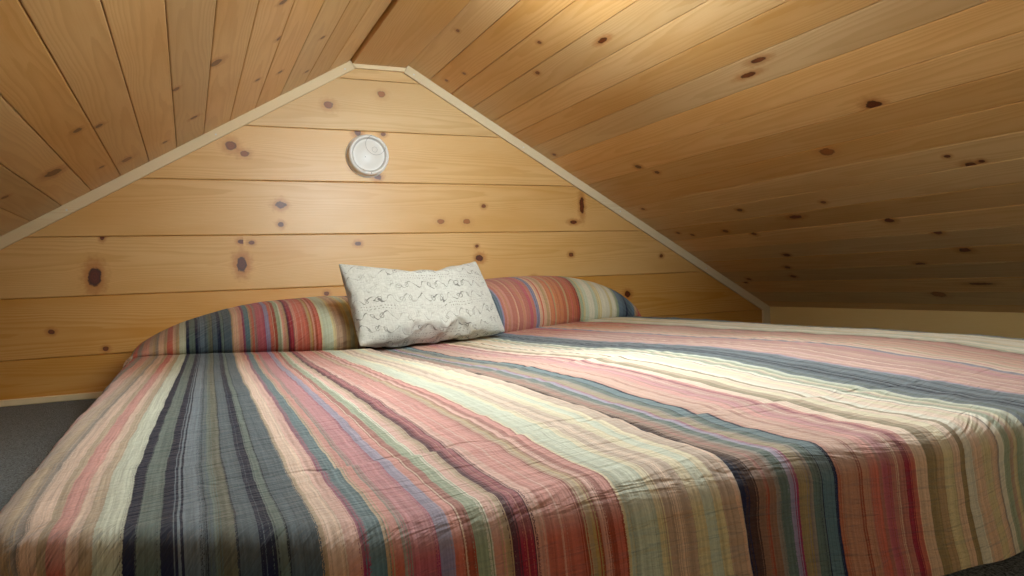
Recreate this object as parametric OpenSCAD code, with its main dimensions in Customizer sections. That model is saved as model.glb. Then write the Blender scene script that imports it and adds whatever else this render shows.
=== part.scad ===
// Sleeping loft at the end of a tiny house. It is the gable end bay of the
// house from the loft floor up: floor, knee boards, sloped ceilings, gable
// wall, roof and a made-up bed. It is open at the front, where the loft
// looks into the rest of the house.
// X runs across the house, Y towards the gable wall and Z up. The origin is
// at the middle of the foot of the bay.

/* [Room] */
// Clear width between the knee boards
room_w = 3404; // [3000:2:3900]
// Length from the open edge to the gable lining
room_l = 2440; // [2300:10:2900]
// Height of the knee board above the carpet
knee_h = 140; // [90:5:300]
// Width of the flat strip under the ridge
ridge_flat_w = 200; // [120:5:320]
// Pitch of the roof in degrees
pitch = 30; // [24:1:38]

/* [Floor] */
// Depth of the floor joists and of the edge beam
joist_h = 140; // [114:1:190]
// Thickness of a joist
joist_w = 38; // [32:1:50]
// Largest distance between joist centres
joist_pitch = 406; // [300:1:610]
// Thickness of the beam at the open edge
edge_beam_w = 89; // [60:1:120]
// Thickness of the floor deck
deck_t = 18; // [12:1:25]
// Thickness of the carpet
carpet_t = 10; // [6:1:16]

/* [Walls] */
// Depth of the studs and plates
stud_d = 89; // [63:1:140]
// Thickness of a stud or plate
stud_w = 38; // [32:1:45]
// Largest distance between the gable studs
stud_pitch = 610; // [400:1:620]
// Thickness of the boards inside
lining_t = 19; // [12:1:22]
// Thickness of the siding boards outside
siding_t = 19; // [12:1:25]
// Width of a corner board
corner_w = 89; // [60:1:120]
// Thickness of a corner board
corner_t = 19; // [12:1:25]

/* [Roof] */
// Depth of a rafter
rafter_h = 140; // [114:1:190]
// Thickness of a rafter and of the ridge beam
rafter_w = 38; // [32:1:45]
// Thickness of the roof deck
roof_deck_t = 12; // [9:1:19]
// Reach of the rafter tails past the siding
eave_reach = 100; // [60:5:200]
// Reach of the roof deck past the gable siding
rake_reach = 80; // [50:5:160]
// Thickness of the fascia and barge boards
fascia_t = 19; // [15:1:25]
// Thickness of the soffit boards
soffit_t = 9; // [6:1:15]
// How far the fascia hangs below the soffit
fascia_drop = 8; // [4:1:20]
// How far the roofing stands past fascia and barge
drip = 15; // [8:1:30]

/* [Roofing] */
// Thickness of the roofing sheet
sheet_t = 1.2; // [0.8:0.1:2]
// Height of a rib
rib_h = 19; // [12:1:30]
// Width of a rib at its foot
rib_foot = 60; // [45:1:80]
// Width of a rib at its top
rib_top = 26; // [18:1:36]
// Largest distance between ribs
rib_pitch = 305; // [200:1:400]
// Width of each wing of the ridge cap
cap_wing = 150; // [100:5:220]

/* [Trim] */
// Face width of the strips along the gable wall
trim_w = 38; // [25:1:60]
// Thickness of those strips
trim_t = 19; // [10:1:22]
// Height of the strip under the ridge
ridge_trim_h = 19; // [12:1:30]
// Height of the strip at the foot of the gable wall
base_trim_h = 19; // [12:1:30]
// Thickness of the strip at the foot of the gable wall
base_trim_t = 12; // [8:1:16]

/* [Smoke alarm] */
// Diameter of the mounting plate
alarm_d = 146; // [120:1:160]
// Thickness of the mounting plate
alarm_plate_t = 8; // [5:1:12]
// Height of the cover over the plate
alarm_cover_h = 30; // [20:1:40]
// Centre of the alarm from the middle of the wall
alarm_x = -55; // [-200:5:200]
// Centre of the alarm above the carpet
alarm_z = 744; // [600:2:800]

/* [Bed] */
// Width of the mattress
mattress_w = 1524; // [1370:2:1600]
// Length of the mattress
mattress_l = 2010; // [1880:10:2040]
// Thickness of the mattress
mattress_h = 140; // [100:5:180]
// Rounding of the mattress edges
mattress_r = 30; // [15:1:45]
// Thickness of the quilt
quilt_t = 12; // [6:1:16]
// Height of the quilt's foot hem above the carpet
foot_hem = 30; // [15:1:60]
// How far the left hem stands out from the bed
flare_left = 95; // [20:5:120]
// How far the right hem stands out from the bed
flare_right = 60; // [20:5:120]
// Length of a pillow across the bed
pillow_l = 720; // [600:5:750]
// Width of a pillow along the bed
pillow_w = 520; // [400:5:600]
// Height of a pillow under the quilt
pillow_h = 136; // [90:2:170]
// Crown of the bedding over the flat of the mattress
crown_h = 19; // [0:1:30]

/* [Accent cushion] */
// Width of the accent cushion
cushion_w = 430; // [380:5:480]
// Height of the accent cushion
cushion_h = 226; // [200:2:250]
// Thickness of the accent cushion
cushion_t = 90; // [70:2:100]
// Lean of the accent cushion from upright in degrees
cushion_lean = 30; // [20:1:34]

/* [Hidden] */

pine = "burlywood";
pale_pine = "wheat";
framing = "tan";
weathered = "peru";
white_plastic = "whitesmoke";

// Faces of the side walls, from the room outwards
half_w = room_w / 2;
wall_in = half_w + lining_t;
wall_out = wall_in + stud_d;
side_out = wall_out + siding_t;
tail_x = side_out + eave_reach;
eave_x = tail_x + fascia_t;
roof_x = eave_x + drip;

// Levels
deck_top = joist_h + deck_t;
floor_z = deck_top + carpet_t;
knee_z = floor_z + knee_h;

// Places along the house, from the open edge to the outside of the gable
total_l = room_l + lining_t + stud_d + siding_t + rake_reach + fascia_t + drip;
y_front = -total_l / 2;
y_gable = y_front + room_l;
y_frame = y_gable + lining_t;
y_siding = y_frame + stud_d;
y_clad = y_siding + siding_t;
y_barge = y_clad + rake_reach;
y_end = y_barge + fascia_t;
y_roof = y_end + drip;

// Slope of the roof: each function gives the height of one layer at x
slope = tan(pitch);
function upright(t) = t / cos(pitch);
function ceiling_z(x) = knee_z + (half_w - abs(x)) * slope;
function rafter_z(x) = ceiling_z(x) + upright(lining_t);
function deck_z(x) = rafter_z(x) + upright(rafter_h);
function sheet_z(x) = deck_z(x) + upright(roof_deck_t);

plate_z = rafter_z(wall_in);
ridge_x = ridge_flat_w / 2;
ridge_z = ceiling_z(ridge_x);
beam_x = rafter_w / 2;
beam_z = ridge_z + lining_t;
soffit_drop = upright(soffit_t);
fascia_z = rafter_z(tail_x) - soffit_drop - fascia_drop;

// The rafters share out the length of the bay, over the side studs
rafter_pairs = 5;
rafter_step = (y_siding - rafter_w - y_front) / (rafter_pairs - 1);
function rafter_y(i) = y_front + i * rafter_step;

// Draws an outline of X and Z, and gives it its length along Y
module along(y0, y1) {
    translate([0, y1, 0])
        rotate([90, 0, 0])
            linear_extrude(y1 - y0)
                children();
}

module box(x0, x1, y0, y1, z0, z1) {
    translate([x0, y0, z0])
        cube([x1 - x0, y1 - y0, z1 - z0]);
}

module left() {
    mirror([1, 0, 0])
        children();
}

module both_sides() {
    children();
    left()
        children();
}

// Floor

module loft_edge_beam() {
    color(framing)
        box(-wall_in, wall_in, y_front, y_front + edge_beam_w, 0, joist_h);
}

joist_run = y_frame - y_front - edge_beam_w;
joist_bays = ceil(joist_run / joist_pitch);
joist_step = joist_run / joist_bays;

module floor_joists() {
    color(framing)
        for (i = [0:joist_bays - 1]) {
            y1 = y_frame - i * joist_step;
            box(-wall_in, wall_in, y1 - joist_w, y1, 0, joist_h);
        }
}

module floor_deck() {
    color(pine)
        box(-wall_in, wall_in, y_front, y_frame, joist_h, deck_top);
}

module carpet() {
    color("slategray")
        box(-half_w, half_w, y_front, y_gable, deck_top, floor_z);
}

// Side walls

module side_frame() {
    color(framing)
        difference() {
            box(wall_in, wall_out, y_front, y_siding, 0, plate_z);
            for (i = [0:rafter_pairs - 2])
                box(wall_in - 1, wall_out + 1, rafter_y(i) + stud_w, rafter_y(i + 1),
                    stud_w, plate_z - 2 * stud_w);
        }
}

module side_siding() {
    color(weathered)
        along(y_front, y_siding)
            polygon([
                [wall_out, 0],
                [side_out, 0],
                [side_out, rafter_z(side_out)],
                [wall_out, rafter_z(wall_out)]]);
}

module knee_board() {
    color(pale_pine)
        along(y_front, y_gable)
            polygon([
                [half_w, deck_top],
                [wall_in, deck_top],
                [wall_in, ceiling_z(wall_in)],
                [half_w, knee_z]]);
}

// Gable wall

gable_studs = floor((wall_in - 2.5 * stud_w) / stud_pitch);
gable_stud_x = [for (i = [0:gable_studs]) i * stud_pitch, wall_in - stud_w / 2];

// One bay between two studs of the gable, under its raking plate
module gable_bay(x0, x1) {
    polygon([
        [x0, stud_w],
        [x1, stud_w],
        [x1, rafter_z(x1) - upright(stud_w)],
        [x0, rafter_z(x0) - upright(stud_w)]]);
}

module gable_frame() {
    color(framing)
        difference() {
            along(y_frame, y_siding)
                polygon([
                    [-wall_in, 0],
                    [wall_in, 0],
                    [wall_in, plate_z],
                    [beam_x, rafter_z(beam_x)],
                    [-beam_x, rafter_z(beam_x)],
                    [-wall_in, plate_z]]);
            along(y_frame - 1, y_siding + 1)
                for (side = [0, 1], i = [0:gable_studs])
                    mirror([side, 0])
                        gable_bay(gable_stud_x[i] + stud_w / 2,
                                  gable_stud_x[i + 1] - stud_w / 2);
            box(-beam_x, beam_x, y_frame - 1, y_siding + 1, beam_z, beam_z + rafter_h);
        }
}

module gable_lining() {
    color(pine)
        along(y_gable, y_frame)
            polygon([
                [-wall_in, deck_top],
                [wall_in, deck_top],
                [wall_in, ceiling_z(wall_in)],
                [ridge_x, ridge_z],
                [-ridge_x, ridge_z],
                [-wall_in, ceiling_z(wall_in)]]);
}

module gable_siding() {
    color(weathered)
        along(y_siding, y_clad)
            polygon([
                [-side_out, 0],
                [side_out, 0],
                [side_out, deck_z(side_out)],
                [0, deck_z(0)],
                [-side_out, deck_z(side_out)]]);
}

module corner_board() {
    outer = side_out + corner_t;
    inner = side_out - corner_w;
    color(weathered) {
        along(y_clad - corner_w, y_clad + corner_t)
            polygon([
                [side_out, 0],
                [outer, 0],
                [outer, rafter_z(outer) - soffit_drop],
                [side_out, rafter_z(side_out) - soffit_drop]]);
        along(y_clad, y_clad + corner_t)
            polygon([
                [inner, 0],
                [side_out, 0],
                [side_out, deck_z(side_out)],
                [inner, deck_z(inner)]]);
    }
}

// Roof

module ridge_beam() {
    color(framing)
        box(-beam_x, beam_x, y_front, y_siding, beam_z, deck_z(beam_x));
}

// A rafter leans on the ridge beam with a plumb cut and sits on the wall
// plate with a birdsmouth, a level seat and an upright heel
module rafter_outline() {
    polygon([
        [beam_x, rafter_z(beam_x)],
        [wall_in, plate_z],
        [wall_out, plate_z],
        [wall_out, rafter_z(wall_out)],
        [tail_x, rafter_z(tail_x)],
        [tail_x, deck_z(tail_x)],
        [beam_x, deck_z(beam_x)]]);
}

module rafter_pair(i) {
    color(framing)
        along(rafter_y(i), rafter_y(i) + rafter_w)
            for (side = [0, 1])
                mirror([side, 0])
                    rafter_outline();
}

module ceiling() {
    color(pine)
        along(y_front, y_frame)
            polygon([
                [ridge_x, ridge_z],
                [wall_in, ceiling_z(wall_in)],
                [wall_in, plate_z],
                [ridge_x, rafter_z(ridge_x)]]);
}

module ridge_board() {
    color(pale_pine)
        box(-ridge_x, ridge_x, y_front, y_frame, ridge_z, beam_z);
}

module roof_deck() {
    color(pine)
        along(y_front, y_barge)
            polygon([
                [0, deck_z(0)],
                [eave_x, deck_z(eave_x)],
                [eave_x, sheet_z(eave_x)],
                [0, sheet_z(0)]]);
}

// Ribs share out the width of the roof, the first and last at its edges
rib_margin = 50;
rib_bays = ceil((total_l - 2 * rib_margin) / rib_pitch);
rib_step = (total_l - 2 * rib_margin) / rib_bays;

// Upper or lower line of the ribbed sheet, at a height over the deck
function rib_line(lift) = [
    [-lift, y_front],
    for (i = [0:rib_bays])
        let (y = y_front + rib_margin + i * rib_step)
            each [
                [-lift, y - rib_foot / 2],
                [-lift - rib_h, y - rib_top / 2],
                [-lift - rib_h, y + rib_top / 2],
                [-lift, y + rib_foot / 2]],
    [-lift, y_roof]];

function backwards(list) = [for (i = [len(list) - 1:-1:0]) list[i]];

module roofing() {
    color("dimgray")
        translate([0, 0, sheet_z(0)])
            rotate([0, 90 + pitch, 0])
                linear_extrude(roof_x / cos(pitch))
                    polygon(concat(rib_line(0), backwards(rib_line(sheet_t))));
}

module ridge_cap() {
    reach = cap_wing * cos(pitch);
    function under(x) = sheet_z(x) + upright(sheet_t + rib_h);
    color("dimgray")
        along(y_front, y_roof)
            polygon([
                [-reach, under(reach)],
                [0, under(0)],
                [reach, under(reach)],
                [reach, under(reach) + upright(sheet_t)],
                [0, under(0) + upright(sheet_t)],
                [-reach, under(reach) + upright(sheet_t)]]);
}

module eave_soffit() {
    color(pine)
        along(y_front, y_barge)
            polygon([
                [side_out, rafter_z(side_out)],
                [tail_x, rafter_z(tail_x)],
                [tail_x, rafter_z(tail_x) - soffit_drop],
                [side_out, rafter_z(side_out) - soffit_drop]]);
}

module eave_fascia() {
    color(weathered)
        along(y_front, y_barge)
            polygon([
                [tail_x, fascia_z],
                [eave_x, fascia_z],
                [eave_x, deck_z(eave_x)],
                [tail_x, deck_z(tail_x)]]);
}

module barge_board() {
    color(weathered)
        along(y_barge, y_end)
            polygon([
                [0, sheet_z(0)],
                [eave_x, sheet_z(eave_x)],
                [eave_x, rafter_z(eave_x)],
                [0, rafter_z(0)]]);
}

// Strips inside

trim_drop = upright(trim_w);

module rake_trim() {
    color(pale_pine)
        along(y_gable - trim_t, y_gable)
            polygon([
                [ridge_x, ridge_z],
                [half_w, knee_z],
                [half_w, knee_z - trim_drop],
                [ridge_x, ridge_z - trim_drop]]);
}

module ridge_trim() {
    color(pale_pine)
        box(-ridge_x, ridge_x, y_gable - trim_t, y_gable, ridge_z - ridge_trim_h, ridge_z);
}

module corner_trim() {
    inner = half_w - trim_w;
    color(pale_pine)
        along(y_gable - trim_t, y_gable)
            polygon([
                [inner, floor_z],
                [half_w, floor_z],
                [half_w, knee_z - trim_drop],
                [inner, ceiling_z(inner) - trim_drop]]);
}

module base_trim() {
    reach = half_w - trim_w;
    color(pale_pine)
        box(-reach, reach, y_gable - base_trim_t, y_gable, floor_z, floor_z + base_trim_h);
}

// Smoke alarm, turned from a profile whose axis stands out from the wall

module alarm_place(out) {
    translate([alarm_x, y_gable - out, floor_z + alarm_z])
        rotate([90, 0, 0])
            children();
}

module smoke_alarm_base() {
    color(white_plastic)
        alarm_place(0)
            cylinder(h = alarm_plate_t, d = alarm_d, $fn = 64);
}

cover_r = alarm_d / 2 - 4;
rim_w = 9;
dish_d = 5;

module smoke_alarm_cover() {
    color(white_plastic)
        alarm_place(alarm_plate_t)
            rotate_extrude($fn = 64)
                polygon([
                    [0, 0],
                    [cover_r, 0],
                    [cover_r, alarm_cover_h - 6],
                    [cover_r - 3, alarm_cover_h - 1],
                    [cover_r - rim_w / 2, alarm_cover_h],
                    [cover_r - rim_w, alarm_cover_h - 1],
                    [cover_r - rim_w - 3, alarm_cover_h - dish_d],
                    [cover_r / 2, alarm_cover_h - 2],
                    [0, alarm_cover_h]]);
}

// Bed

rest_gap = 0.3;
y_head = y_gable - base_trim_t - 2;
y_foot = y_head - mattress_l;
mattress_x = mattress_w / 2;
mattress_top = floor_z + mattress_h;
corner_r = 70;

function arc(cx, cy, r, from, to, steps) = [
    for (i = [0:steps])
        let (a = from + (to - from) * i / steps)
            [cx + r * cos(a), cy + r * sin(a)]];

// One corner of the mattress, round in plan and along its edges
module mattress_corner() {
    straight = corner_r - mattress_r;
    rotate_extrude($fn = 32)
        polygon(concat(
            [[0, 0]],
            arc(straight, mattress_r, mattress_r, -90, 0, 5),
            arc(straight, mattress_h - mattress_r, mattress_r, 0, 90, 5),
            [[0, mattress_h]]));
}

module mattress() {
    color("white")
        hull()
            for (x = [-1, 1] * (mattress_x - corner_r), y = [y_foot + corner_r, y_head - corner_r])
                translate([x, y, floor_z])
                    mattress_corner();
}

// How the quilt lies over the pillows, from the left side of the bed to the
// right. Each row is a place as a share of half the mattress, the distance of
// the crease from the head as a share of a pillow's width, and the height of
// the quilt as a share of a pillow's height.
bed_line = [
    [-1.05, 0.96, 0], [-0.99, 0.96, 0.12], [-0.95, 0.97, 0.27], [-0.91, 0.98, 0.39],
    [-0.85, 0.99, 0.52], [-0.77, 1.05, 0.66], [-0.69, 1.12, 0.77], [-0.60, 1.22, 0.85],
    [-0.50, 1.33, 0.89], [-0.40, 1.42, 0.92], [-0.26, 1.42, 0.90], [-0.13, 1.36, 0.81],
    [0, 1.30, 0.78], [0.13, 1.22, 0.97], [0.28, 1.08, 1.11], [0.45, 0.95, 1.14],
    [0.60, 0.87, 1.12], [0.70, 0.82, 1.06], [0.78, 0.79, 0.99], [0.86, 0.76, 0.87],
    [0.93, 0.74, 0.71], [0.98, 0.73, 0.51], [1.02, 0.72, 0.25], [1.05, 0.72, 0]];
// Height of the quilt from the head to the crease, as shares of both
bed_section = [
    [0, 0], [0.05, 0.22], [0.14, 0.55], [0.29, 0.84], [0.46, 0.97], [0.60, 1],
    [0.75, 0.96], [0.86, 0.85], [0.94, 0.66], [0.985, 0.43], [1, 0]];

function quilt_crease(x) =
    pillow_w * lookup(x / mattress_x, [for (row = bed_line) [row[0], row[1]]]);

function quilt_rise(x, back) =
    let (
        share = back / quilt_crease(x),
        high = lookup(x / mattress_x, [for (row = bed_line) [row[0], row[2]]]))
    share >= 1 ? 0 : pillow_h * high * lookup(share, bed_section);

// Two low mounds of bedding: place, reach and height as shares of the bed
bed_mounds = [[0.14, 0.74, 0.84, 0.17, 1], [0.86, 0.30, 0.42, 0.38, 0.65]];

function mound(m, x, back) =
    m[4] * exp(-pow((x / mattress_x - m[0]) / m[2], 2) - pow((back / mattress_l - m[1]) / m[3], 2));

function bed_crown(x, back) =
    crown_h * (mound(bed_mounds[0], x, back) + mound(bed_mounds[1], x, back));

// The quilt is a sheet over the mattress. Its top is flat, and past the edge
// it turns down over a round edge and drops to the hem. rho is the way along
// the sheet, out from the middle of the rounded corner, and off is how far
// the face lies from the mattress.
edge_slack = 4;
edge_r = mattress_r - edge_slack;
side_slack = 2;
hem_gap = 6;
foot_flare = 8;
top_u = mattress_x + side_slack - corner_r;
top_v = mattress_l + side_slack - corner_r;
turn_l = edge_r * PI / 2;
side_drop = mattress_h - edge_r - hem_gap;
foot_drop = mattress_h - edge_r - foot_hem;

function drape_r(rho, off, drop, flare) =
    rho <= corner_r - edge_r ? rho
    : rho <= corner_r - edge_r + turn_l
        ? corner_r - edge_r + (edge_r + off) * sin((rho - corner_r + edge_r) / turn_l * 90)
        : corner_r + off + flare * pow((rho - corner_r + edge_r - turn_l) / drop, 1.6);

function drape_z(rho, off) =
    rho <= corner_r - edge_r ? mattress_top + off
    : rho <= corner_r - edge_r + turn_l
        ? mattress_top - edge_r + (edge_r + off) * cos((rho - corner_r + edge_r) / turn_l * 90)
        : mattress_top - edge_r - (rho - corner_r + edge_r - turn_l);

function mix(a, b, t) = a + (b - a) * t;

function steps(from, to, n) = [for (i = [1:n]) from + (to - from) * i / n];

// The sheet's columns lie across the bed. Each of its rows has a share of the
// way to the crease, a share of the rest of the top, and the way past the top.
edge_steps = concat(
    steps(0, corner_r - edge_r, 1),
    steps(corner_r - edge_r, corner_r - edge_r + turn_l, 4),
    steps(corner_r - edge_r + turn_l, corner_r - edge_r + turn_l + side_drop, 3));
right_u = concat(steps(0, top_u, 16), [for (s = edge_steps) top_u + s]);
quilt_u = concat([for (s = backwards(right_u)) -s], [0], right_u);
quilt_rows = concat(
    [for (s = [0, 0.05, 0.1, 0.14, 0.21, 0.29, 0.38, 0.46, 0.6, 0.68, 0.75, 0.81, 0.86, 0.9,
               0.94, 0.965, 0.985, 1])
        [s, 0, 0]],
    [for (s = steps(0, 1, 9)) [1, s, 0]],
    [for (s = edge_steps) [1, 1, s]]);

function quilt_point(u, row, off) =
    let (
        at_x = sign(u) * min(abs(u), mattress_x),
        v = mix(quilt_crease(at_x) * row[0], top_v, row[1]),
        du = max(0, abs(u) - top_u),
        dv = row[2],
        rho = max(du, dv),
        turn = rho == 0 ? 0 : du >= dv ? 45 * dv / du : 90 - 45 * du / dv,
        drop = mix(side_drop, foot_drop, turn / 90),
        top_l = corner_r - edge_r + turn_l,
        way = rho <= top_l ? rho : top_l + (rho - top_l) * drop / side_drop,
        flare = mix(u < 0 ? flare_left : flare_right, foot_flare, turn / 90),
        out = drape_r(way, off, drop, flare),
        stay = 1 - max(0, (way - corner_r + edge_r) / (turn_l + drop)),
        over = (row[0] < 1 ? quilt_rise(at_x, v) : 0) + bed_crown(at_x, v),
        x = sign(u) * (min(abs(u), top_u) + out * cos(turn)),
        y = y_head - v - out * sin(turn))
    [x, y, drape_z(way, off) + over * stay];

// Closes a sheet of two faces, each with nu by nv points, into one solid
function sheet_faces(nu, nv) =
    let (
        n = nu * nv,
        rim = concat(
            [for (i = [0:nu - 1]) i * nv],
            [for (j = [1:nv - 1]) (nu - 1) * nv + j],
            [for (i = [nu - 2:-1:0]) i * nv + nv - 1],
            [for (j = [nv - 2:-1:1]) j]))
    concat(
        [for (i = [0:nu - 2], j = [0:nv - 2])
            let (p = i * nv + j)
                each [[p, p + 1, p + nv + 1], [p, p + nv + 1, p + nv]]],
        [for (i = [0:nu - 2], j = [0:nv - 2])
            let (p = n + i * nv + j)
                each [[p, p + nv + 1, p + 1], [p, p + nv, p + nv + 1]]],
        [for (i = [0:len(rim) - 1])
            let (p = rim[i], q = rim[(i + 1) % len(rim)])
                each [[p, q, n + q], [p, n + q, n + p]]]);

module quilt() {
    outer = [for (u = quilt_u, row = quilt_rows) quilt_point(u, row, rest_gap + quilt_t)];
    inner = [for (u = quilt_u, row = quilt_rows) quilt_point(u, row, rest_gap)];
    color("salmon")
        polyhedron(concat(inner, outer), sheet_faces(len(quilt_u), len(quilt_rows)));
}

// A pillow lies on the mattress: a flat foot under a crowned top, which the
// quilt holds down. Each has its middle, its distance from the head, its turn,
// its fullness and its share of a pillow's width.
pillow_side = [-pillow_l / 2, 0.69 * pillow_w, 32, 1, 1];
pillow_far = [pillow_l / 2, 0.44 * pillow_w, -6, 1.2, 0.81];
pillow_power = 2.6;
pillow_foot = 3;
pillow_gap = 6;
pillow_u = [for (i = [-8:8]) sin(i * 90 / 8)];
pillow_v = [for (i = [-6:6]) sin(i * 90 / 6)];

// Moves a point of the square onto the pillow's rounded outline
function pillow_point(p, s, t, top) =
    let (
        m = max(abs(s), abs(t)),
        k = m == 0 ? 1 : m / pow(pow(abs(s), pillow_power) + pow(abs(t), pillow_power),
                                 1 / pillow_power),
        a = s * k * pillow_l / 2,
        b = t * k * pillow_w * p[4] / 2,
        x = p[0] + a * cos(p[2]) + b * sin(p[2]),
        back = p[1] + a * sin(p[2]) - b * cos(p[2]),
        full = max(0, 1 - pow(abs(s * k), pillow_power) - pow(abs(t * k), pillow_power)),
        high = min(pillow_h * p[3] * pow(full, 0.6), quilt_rise(x, back) - pillow_foot - pillow_gap))
    [x, y_head - back, mattress_top + rest_gap + (top ? pillow_foot + max(0, high) : 0)];

module pillow(p) {
    points = concat(
        [for (s = pillow_u, t = pillow_v) pillow_point(p, s, t, true)],
        [for (s = pillow_u, t = pillow_v) pillow_point(p, s, t, false)]);
    color("white")
        polyhedron(points, sheet_faces(len(pillow_u), len(pillow_v)));
}

// The accent cushion stands on the quilt and leans back towards the pillows
cushion_x = -85;
cushion_clear = 79;
cushion_from_head = quilt_crease(cushion_x) + cushion_clear;
cushion_turn = 16.5;
cushion_u = [for (i = [-7:7]) sin(i * 90 / 7)];
cushion_v = [for (i = [-5:5]) sin(i * 90 / 5)];

// Its sides pull in between the corners, and its faces crown to the middle
function cushion_point(s, t, side) =
    [s * cushion_w / 2 * (1 - 0.07 * (1 - t * t)),
     side * (1 + cushion_t / 2 * pow((1 - s * s) * (1 - t * t), 0.45)),
     cushion_h / 2 + t * cushion_h / 2 * (1 - 0.08 * (1 - s * s))];

// How far its lowest point lies over its own foot once it leans
cushion_low = min([for (s = cushion_u, t = cushion_v)
    let (p = cushion_point(s, t, 1))
        p[2] * cos(cushion_lean) - p[1] * sin(cushion_lean)]);
// The bedding's crown under its right end carries it
cushion_seat = bed_crown(cushion_x + cushion_w / 2, cushion_from_head);

module accent_cushion() {
    points = concat(
        [for (s = cushion_u, t = cushion_v) cushion_point(s, t, -1)],
        [for (s = cushion_u, t = cushion_v) cushion_point(s, t, 1)]);
    color("beige")
        translate([cushion_x, y_head - cushion_from_head,
                   mattress_top + quilt_t + 2 * rest_gap + cushion_seat - cushion_low])
            rotate([-cushion_lean, 0, cushion_turn])
                polyhedron(points, sheet_faces(len(cushion_u), len(cushion_v)));
}

loft_edge_beam();
floor_joists();
floor_deck();
carpet();
left() side_frame();  // side_frame_left
side_frame();  // side_frame_right
left() side_siding();  // side_siding_left
side_siding();  // side_siding_right
left() knee_board();  // knee_board_left
knee_board();  // knee_board_right
gable_frame();
gable_lining();
gable_siding();
both_sides() corner_board();  // corner_boards
ridge_beam();
rafter_pair(0);  // rafter_pair_1
rafter_pair(1);  // rafter_pair_2
rafter_pair(2);  // rafter_pair_3
rafter_pair(3);  // rafter_pair_4
rafter_pair(4);  // rafter_pair_5
left() ceiling();  // ceiling_left
ceiling();  // ceiling_right
ridge_board();
left() roof_deck();  // roof_deck_left
roof_deck();  // roof_deck_right
left() roofing();  // roofing_left
roofing();  // roofing_right
ridge_cap();
both_sides() eave_soffit();  // eave_soffits
left() eave_fascia();  // eave_fascia_left
eave_fascia();  // eave_fascia_right
left() barge_board();  // barge_board_left
barge_board();  // barge_board_right
left() rake_trim();  // rake_trim_left
rake_trim();  // rake_trim_right
ridge_trim();
both_sides() corner_trim();  // corner_trims
base_trim();
smoke_alarm_base();
smoke_alarm_cover();
mattress();
quilt();
pillow(pillow_side);  // pillow_left
pillow(pillow_far);  // pillow_right
accent_cushion();
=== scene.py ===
import math
import random

import bmesh
import bpy
import numpy as np
from mathutils import Matrix, Vector
from mathutils.noise import noise as noiseAt


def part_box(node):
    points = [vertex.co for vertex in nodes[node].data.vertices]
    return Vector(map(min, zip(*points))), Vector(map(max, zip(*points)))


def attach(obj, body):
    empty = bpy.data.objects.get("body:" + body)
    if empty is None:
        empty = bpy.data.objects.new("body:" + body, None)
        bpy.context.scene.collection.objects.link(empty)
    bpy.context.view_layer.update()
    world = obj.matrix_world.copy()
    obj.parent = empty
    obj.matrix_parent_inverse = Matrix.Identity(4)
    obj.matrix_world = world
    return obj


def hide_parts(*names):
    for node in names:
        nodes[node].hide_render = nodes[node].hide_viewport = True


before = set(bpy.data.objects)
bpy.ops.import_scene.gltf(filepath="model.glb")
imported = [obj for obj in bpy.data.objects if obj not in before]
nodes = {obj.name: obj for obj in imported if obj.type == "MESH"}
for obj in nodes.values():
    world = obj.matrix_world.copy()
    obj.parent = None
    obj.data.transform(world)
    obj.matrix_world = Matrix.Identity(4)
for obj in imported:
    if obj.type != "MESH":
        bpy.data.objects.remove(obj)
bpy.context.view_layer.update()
print("frame loaded:", len(nodes), "nodes")

# The room's own measures in metres, the same as the part's
room = {
    "halfWidth": 1.702, "wallIn": 1.721, "sideOut": 1.829, "deckTop": 0.158, "floor": 0.168,
    "knee": 0.308, "ridgeX": 0.100, "pitch": math.radians(30), "lining": 0.019, "rafter": 0.140,
    "front": -1.3405, "gable": 1.0995, "gableFrame": 1.1185, "gableSiding": 1.2075, "gableOut": 1.2265,
}
slope = math.tan(room["pitch"])
c30 = math.cos(room["pitch"])
s30 = math.sin(room["pitch"])
upright = 1 / c30


def ceilingZ(x):
    return room["knee"] + (room["halfWidth"] - abs(x)) * slope


def rafterZ(x):
    return ceilingZ(x) + room["lining"] * upright


def deckZ(x):
    return rafterZ(x) + room["rafter"] * upright


ridgeZ = ceilingZ(room["ridgeX"])

# Camera, as the photograph was taken: from the open edge, low and to the left
cameraView = {
    "place": (-0.633, -1.3755, 0.472),
    "right": (0.91267, -0.40679, -0.03931),
    "up": (0.04080, -0.00502, 0.99915),
    "forward": (0.40664, 0.91351, -0.01201),
    "lens": 25.58,
}
cameraData = bpy.data.cameras.new("loftCamera")
cameraData.lens = cameraView["lens"]
cameraData.sensor_width = 36
cameraData.clip_start = 0.01
camera = bpy.data.objects.new("loftCamera", cameraData)
bpy.context.scene.collection.objects.link(camera)
turned = Matrix((cameraView["right"], cameraView["up"], [-c for c in cameraView["forward"]]))
turned = turned.transposed().to_4x4()
camera.matrix_world = Matrix.Translation(cameraView["place"]) @ turned
bpy.context.scene.camera = camera
bpy.context.scene.view_settings.view_transform = "Standard"

# Small helpers for working on one piece at a time. Points closer than this
# count as one.
weld = 0.00001


def pickOnly(*pieces):
    if bpy.context.object and bpy.context.object.mode != "OBJECT":
        bpy.ops.object.mode_set(mode="OBJECT")
    bpy.ops.object.select_all(action="DESELECT")
    for piece in pieces:
        piece.select_set(True)
    bpy.context.view_layer.objects.active = pieces[0]


def startEdit(piece, everything=False):
    pickOnly(piece)
    bpy.ops.object.mode_set(mode="EDIT")
    bpy.ops.mesh.select_mode(type="FACE")
    bpy.ops.mesh.select_all(action="SELECT" if everything else "DESELECT")


def endEdit():
    bpy.ops.object.mode_set(mode="OBJECT")


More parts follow.
